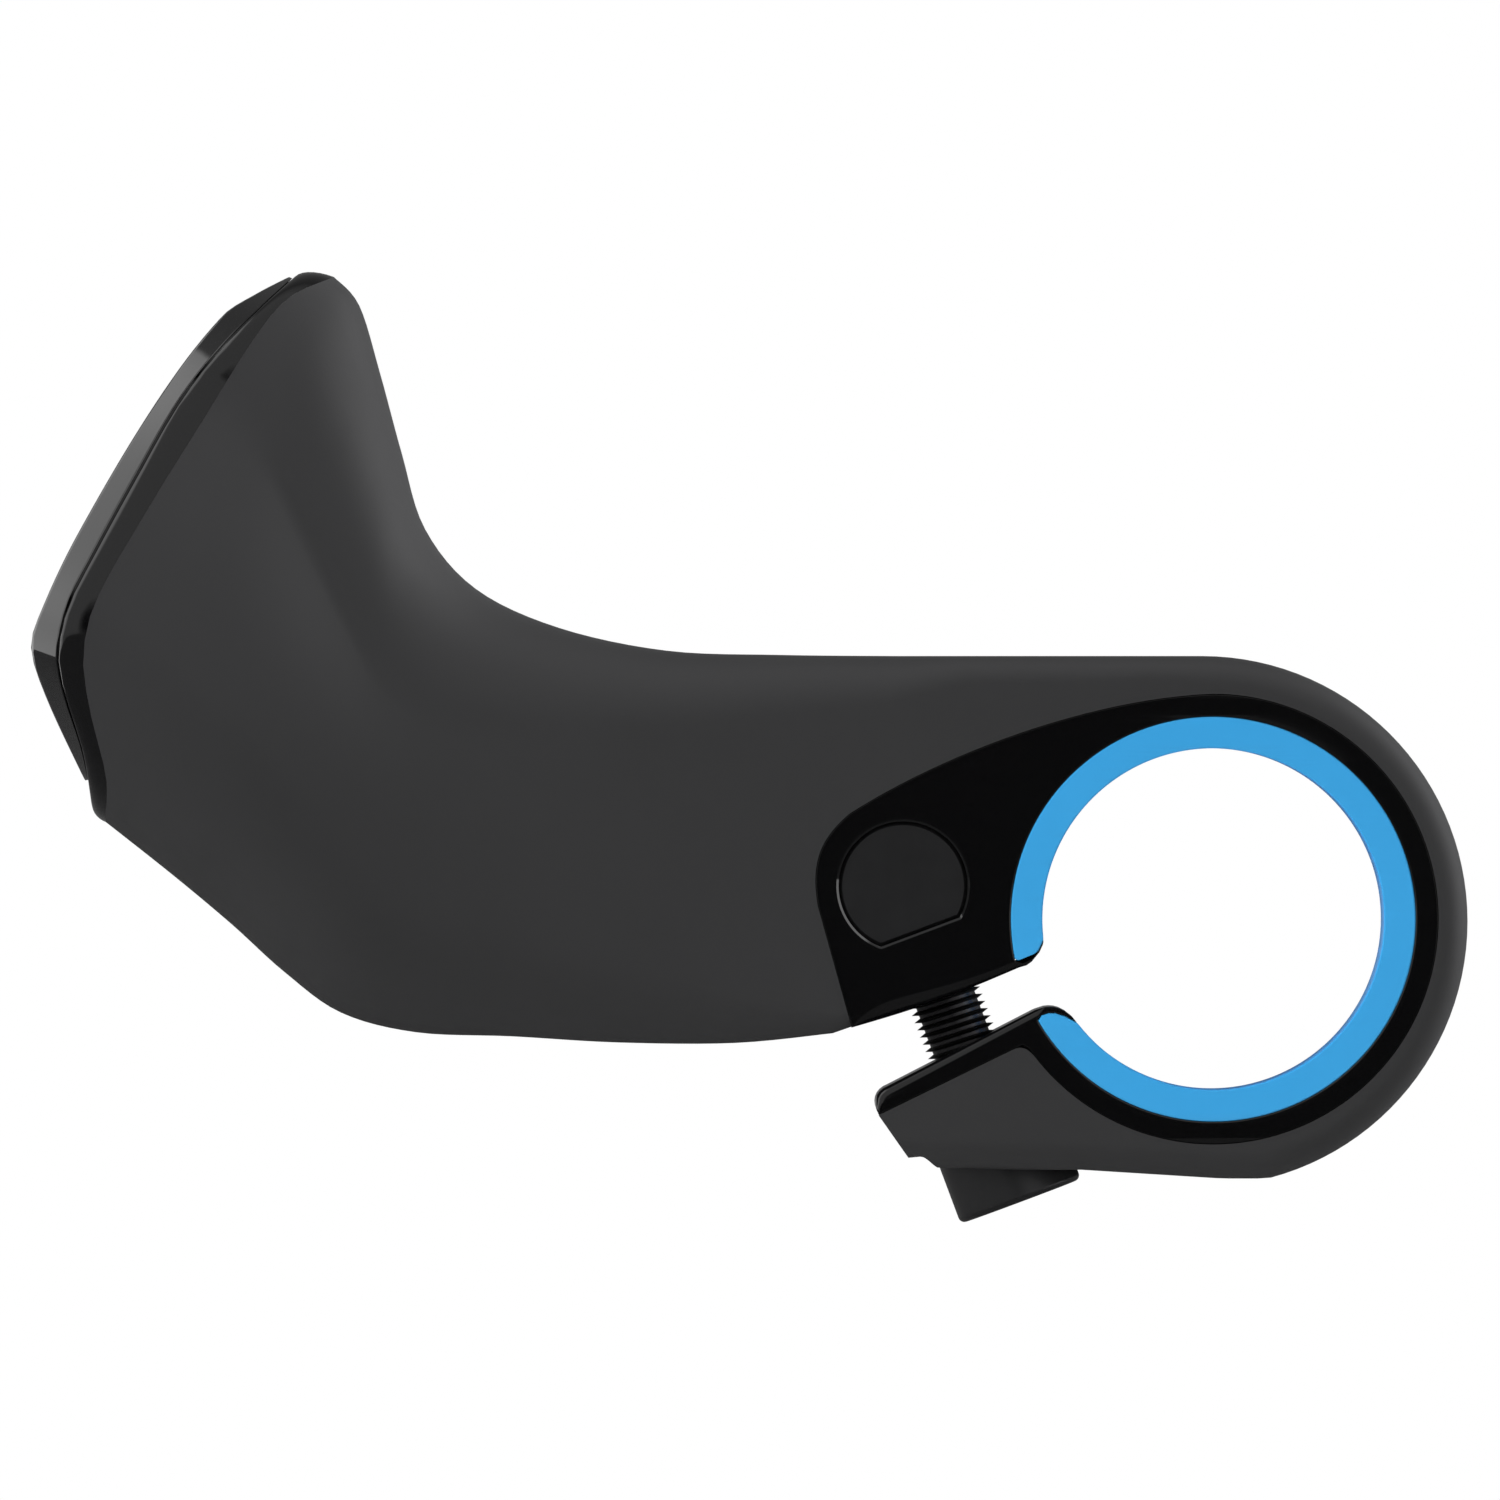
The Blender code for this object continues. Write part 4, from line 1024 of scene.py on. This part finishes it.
def make_floor():
    """A round pale floor, white to the camera at its edge so that it meets the backdrop.

    In reflections it is dim, so that the glossy black mouldings stay dark below.
    """
    shape = bmesh.new()
    bmesh.ops.create_circle(shape, cap_ends=True, segments=96, radius=FLOOR_RADIUS)
    mesh = bpy.data.meshes.new("floor")
    shape.to_mesh(mesh)
    shape.free()
    floor = bpy.data.objects.new("floor", mesh)
    floor.location = (VIEW_CENTRE[0], 0.0, FLOOR_LEVEL)
    bpy.context.scene.collection.objects.link(floor)
    paint = bpy.data.materials.new("floor_paint")
    paint.use_nodes = True
    tree = paint.node_tree
    shader = tree.nodes["Principled BSDF"]
    shader.inputs["Base Color"].default_value = (FLOOR_TONE, FLOOR_TONE, FLOOR_TONE, 1.0)
    shader.inputs["Roughness"].default_value = 0.9
    place = add_node(tree, "ShaderNodeTexCoord").outputs["Object"]
    distance = add_node(tree, "ShaderNodeVectorMath", [(0, place)], operation="LENGTH")
    fade = add_node(tree, "ShaderNodeMapRange", [("Value", distance.outputs["Value"]),
                                                 ("From Min", FLOOR_FADE[0]), ("From Max", FLOOR_FADE[1])],
                    interpolation_type="SMOOTHSTEP")
    ray = add_node(tree, "ShaderNodeLightPath").outputs
    seen = add_node(tree, "ShaderNodeMath", [(0, ray["Is Camera Ray"]), (1, ray["Is Transmission Ray"])],
                    operation="MAXIMUM")
    share = add_node(tree, "ShaderNodeMath", [(0, fade.outputs["Result"]), (1, seen.outputs["Value"])],
                     operation="MULTIPLY")
    white = add_node(tree, "ShaderNodeEmission", [("Color", (1.0, 1.0, 1.0, 1.0)), ("Strength", 1.0)])
    dim = add_node(tree, "ShaderNodeEmission", [("Color", (1.0, 1.0, 1.0, 1.0)),
                                                ("Strength", FLOOR_REFLECTED)])
    lit = add_node(tree, "ShaderNodeMixShader", [(0, ray["Is Glossy Ray"]), (1, shader.outputs["BSDF"]),
                                                 (2, dim.outputs["Emission"])])
    mixed = add_node(tree, "ShaderNodeMixShader", [(0, share.outputs["Value"]), (1, lit.outputs["Shader"]),
                                                   (2, white.outputs["Emission"])])
    tree.links.new(mixed.outputs["Shader"], tree.nodes["Material Output"].inputs["Surface"])
    mesh.materials.append(paint)


def make_backdrop():
    """White for the camera, an even soft light on matt surfaces, and a room in reflections.

    The room is black round the lens and dim behind and below the part. It has a pale wall at
    each side and a pale card at the left behind the horn. Limits are parts of a unit direction.
    """
    world = bpy.data.worlds.new("backdrop")
    bpy.context.scene.world = world
    world.use_nodes = True
    tree = world.node_tree
    direction = add_node(tree, "ShaderNodeTexCoord").outputs["Generated"]
    parts = add_node(tree, "ShaderNodeSeparateXYZ", [("Vector", direction)]).outputs

    def ramp(axis, start, end, low=0.0, high=1.0):
        made = add_node(tree, "ShaderNodeMapRange", [("Value", parts[axis]), ("From Min", start),
                                                     ("From Max", end), ("To Min", low), ("To Max", high)])
        return made.outputs["Result"]

    def times(a, b):
        return add_node(tree, "ShaderNodeMath", [(0, a), (1, b)], operation="MULTIPLY").outputs["Value"]

    def blend(share, a, b):
        made = add_node(tree, "ShaderNodeMix", [("Factor", share), ("A", a), ("B", b)])
        return made.outputs["Result"]

    beside_lens = ramp("Y", -0.99, -0.95, ROOM_AT_LENS, ROOM)
    above = times(beside_lens, ramp("Y", -0.1, 0.4, 1.0, ROOM_BEHIND / ROOM))
    reflected = blend(ramp("Z", -0.45, -0.05), ROOM_BELOW, above)
    beside = times(times(ramp("Y", -0.5, -0.3), ramp("Y", 0.45, 0.3)), ramp("Z", -0.35, -0.25))
    reflected = blend(times(beside, ramp("X", -0.45, -0.55)), reflected, LEFT_WALL)
    reflected = blend(times(beside, ramp("X", 0.5, 0.6)), reflected, RIGHT_WALL)
    card = times(times(ramp("Y", 0.45, 0.5), ramp("X", -0.36, -0.38)),
                 times(ramp("Z", -0.305, -0.295), ramp("Z", 0.445, 0.43)))
    reflected = blend(card, reflected, ramp("Z", 0.42, 0.0, CARD_TOP, CARD_MIDDLE))
    ray = add_node(tree, "ShaderNodeLightPath").outputs
    seen = add_node(tree, "ShaderNodeMath", [(0, ray["Is Camera Ray"]), (1, ray["Is Transmission Ray"])],
                    operation="MAXIMUM")
    strength = blend(seen.outputs["Value"], blend(ray["Is Glossy Ray"], SOFT_LIGHT, reflected), 1.0)
    background = tree.nodes["Background"]
    background.inputs["Color"].default_value = (1.0, 1.0, 1.0, 1.0)
    tree.links.new(strength, background.inputs["Strength"])


def soft_light(name, place, width, height, brightness):
    """A rectangular light that faces the part. Brightness 1 is as bright as the backdrop.

    It stays out of reflections, which show the room's walls and card instead.
    """
    lamp = bpy.data.lights.new(name, "AREA")
    lamp.shape = "RECTANGLE"
    lamp.size = width
    lamp.size_y = height
    lamp.energy = brightness * math.pi * width * height
    light = bpy.data.objects.new(name, lamp)
    light.location = place
    target = Vector((VIEW_CENTRE[0], 0.0, VIEW_CENTRE[1]))
    light.rotation_euler = (target - Vector(place)).to_track_quat("-Z", "Y").to_euler()
    light.visible_glossy = False
    bpy.context.scene.collection.objects.link(light)


make_floor()
make_backdrop()
soft_light("key_light", (0.03, -0.25, 0.97), 0.9, 0.9, 3.1)
soft_light("side_light", (0.9, 0.4, 0.15), 0.7, 0.3, 42.0)
soft_light("horn_light", (-0.86, -0.42, 0.28), 0.5, 0.5, 9.5)

lens = bpy.data.cameras.new("camera")
lens.sensor_width = SENSOR_WIDTH
lens.lens = SENSOR_WIDTH * VIEW_DISTANCE / VIEW_WIDTH
lens.clip_start = 0.1
lens.clip_end = 10.0
camera = bpy.data.objects.new("camera", lens)
camera.location = (VIEW_CENTRE[0], -VIEW_DISTANCE - NEAR_FACE, VIEW_CENTRE[1])
camera.rotation_euler = (math.radians(90.0), 0.0, 0.0)
bpy.context.scene.collection.objects.link(camera)
bpy.context.scene.camera = camera
bpy.context.scene.view_settings.view_transform = "Standard"
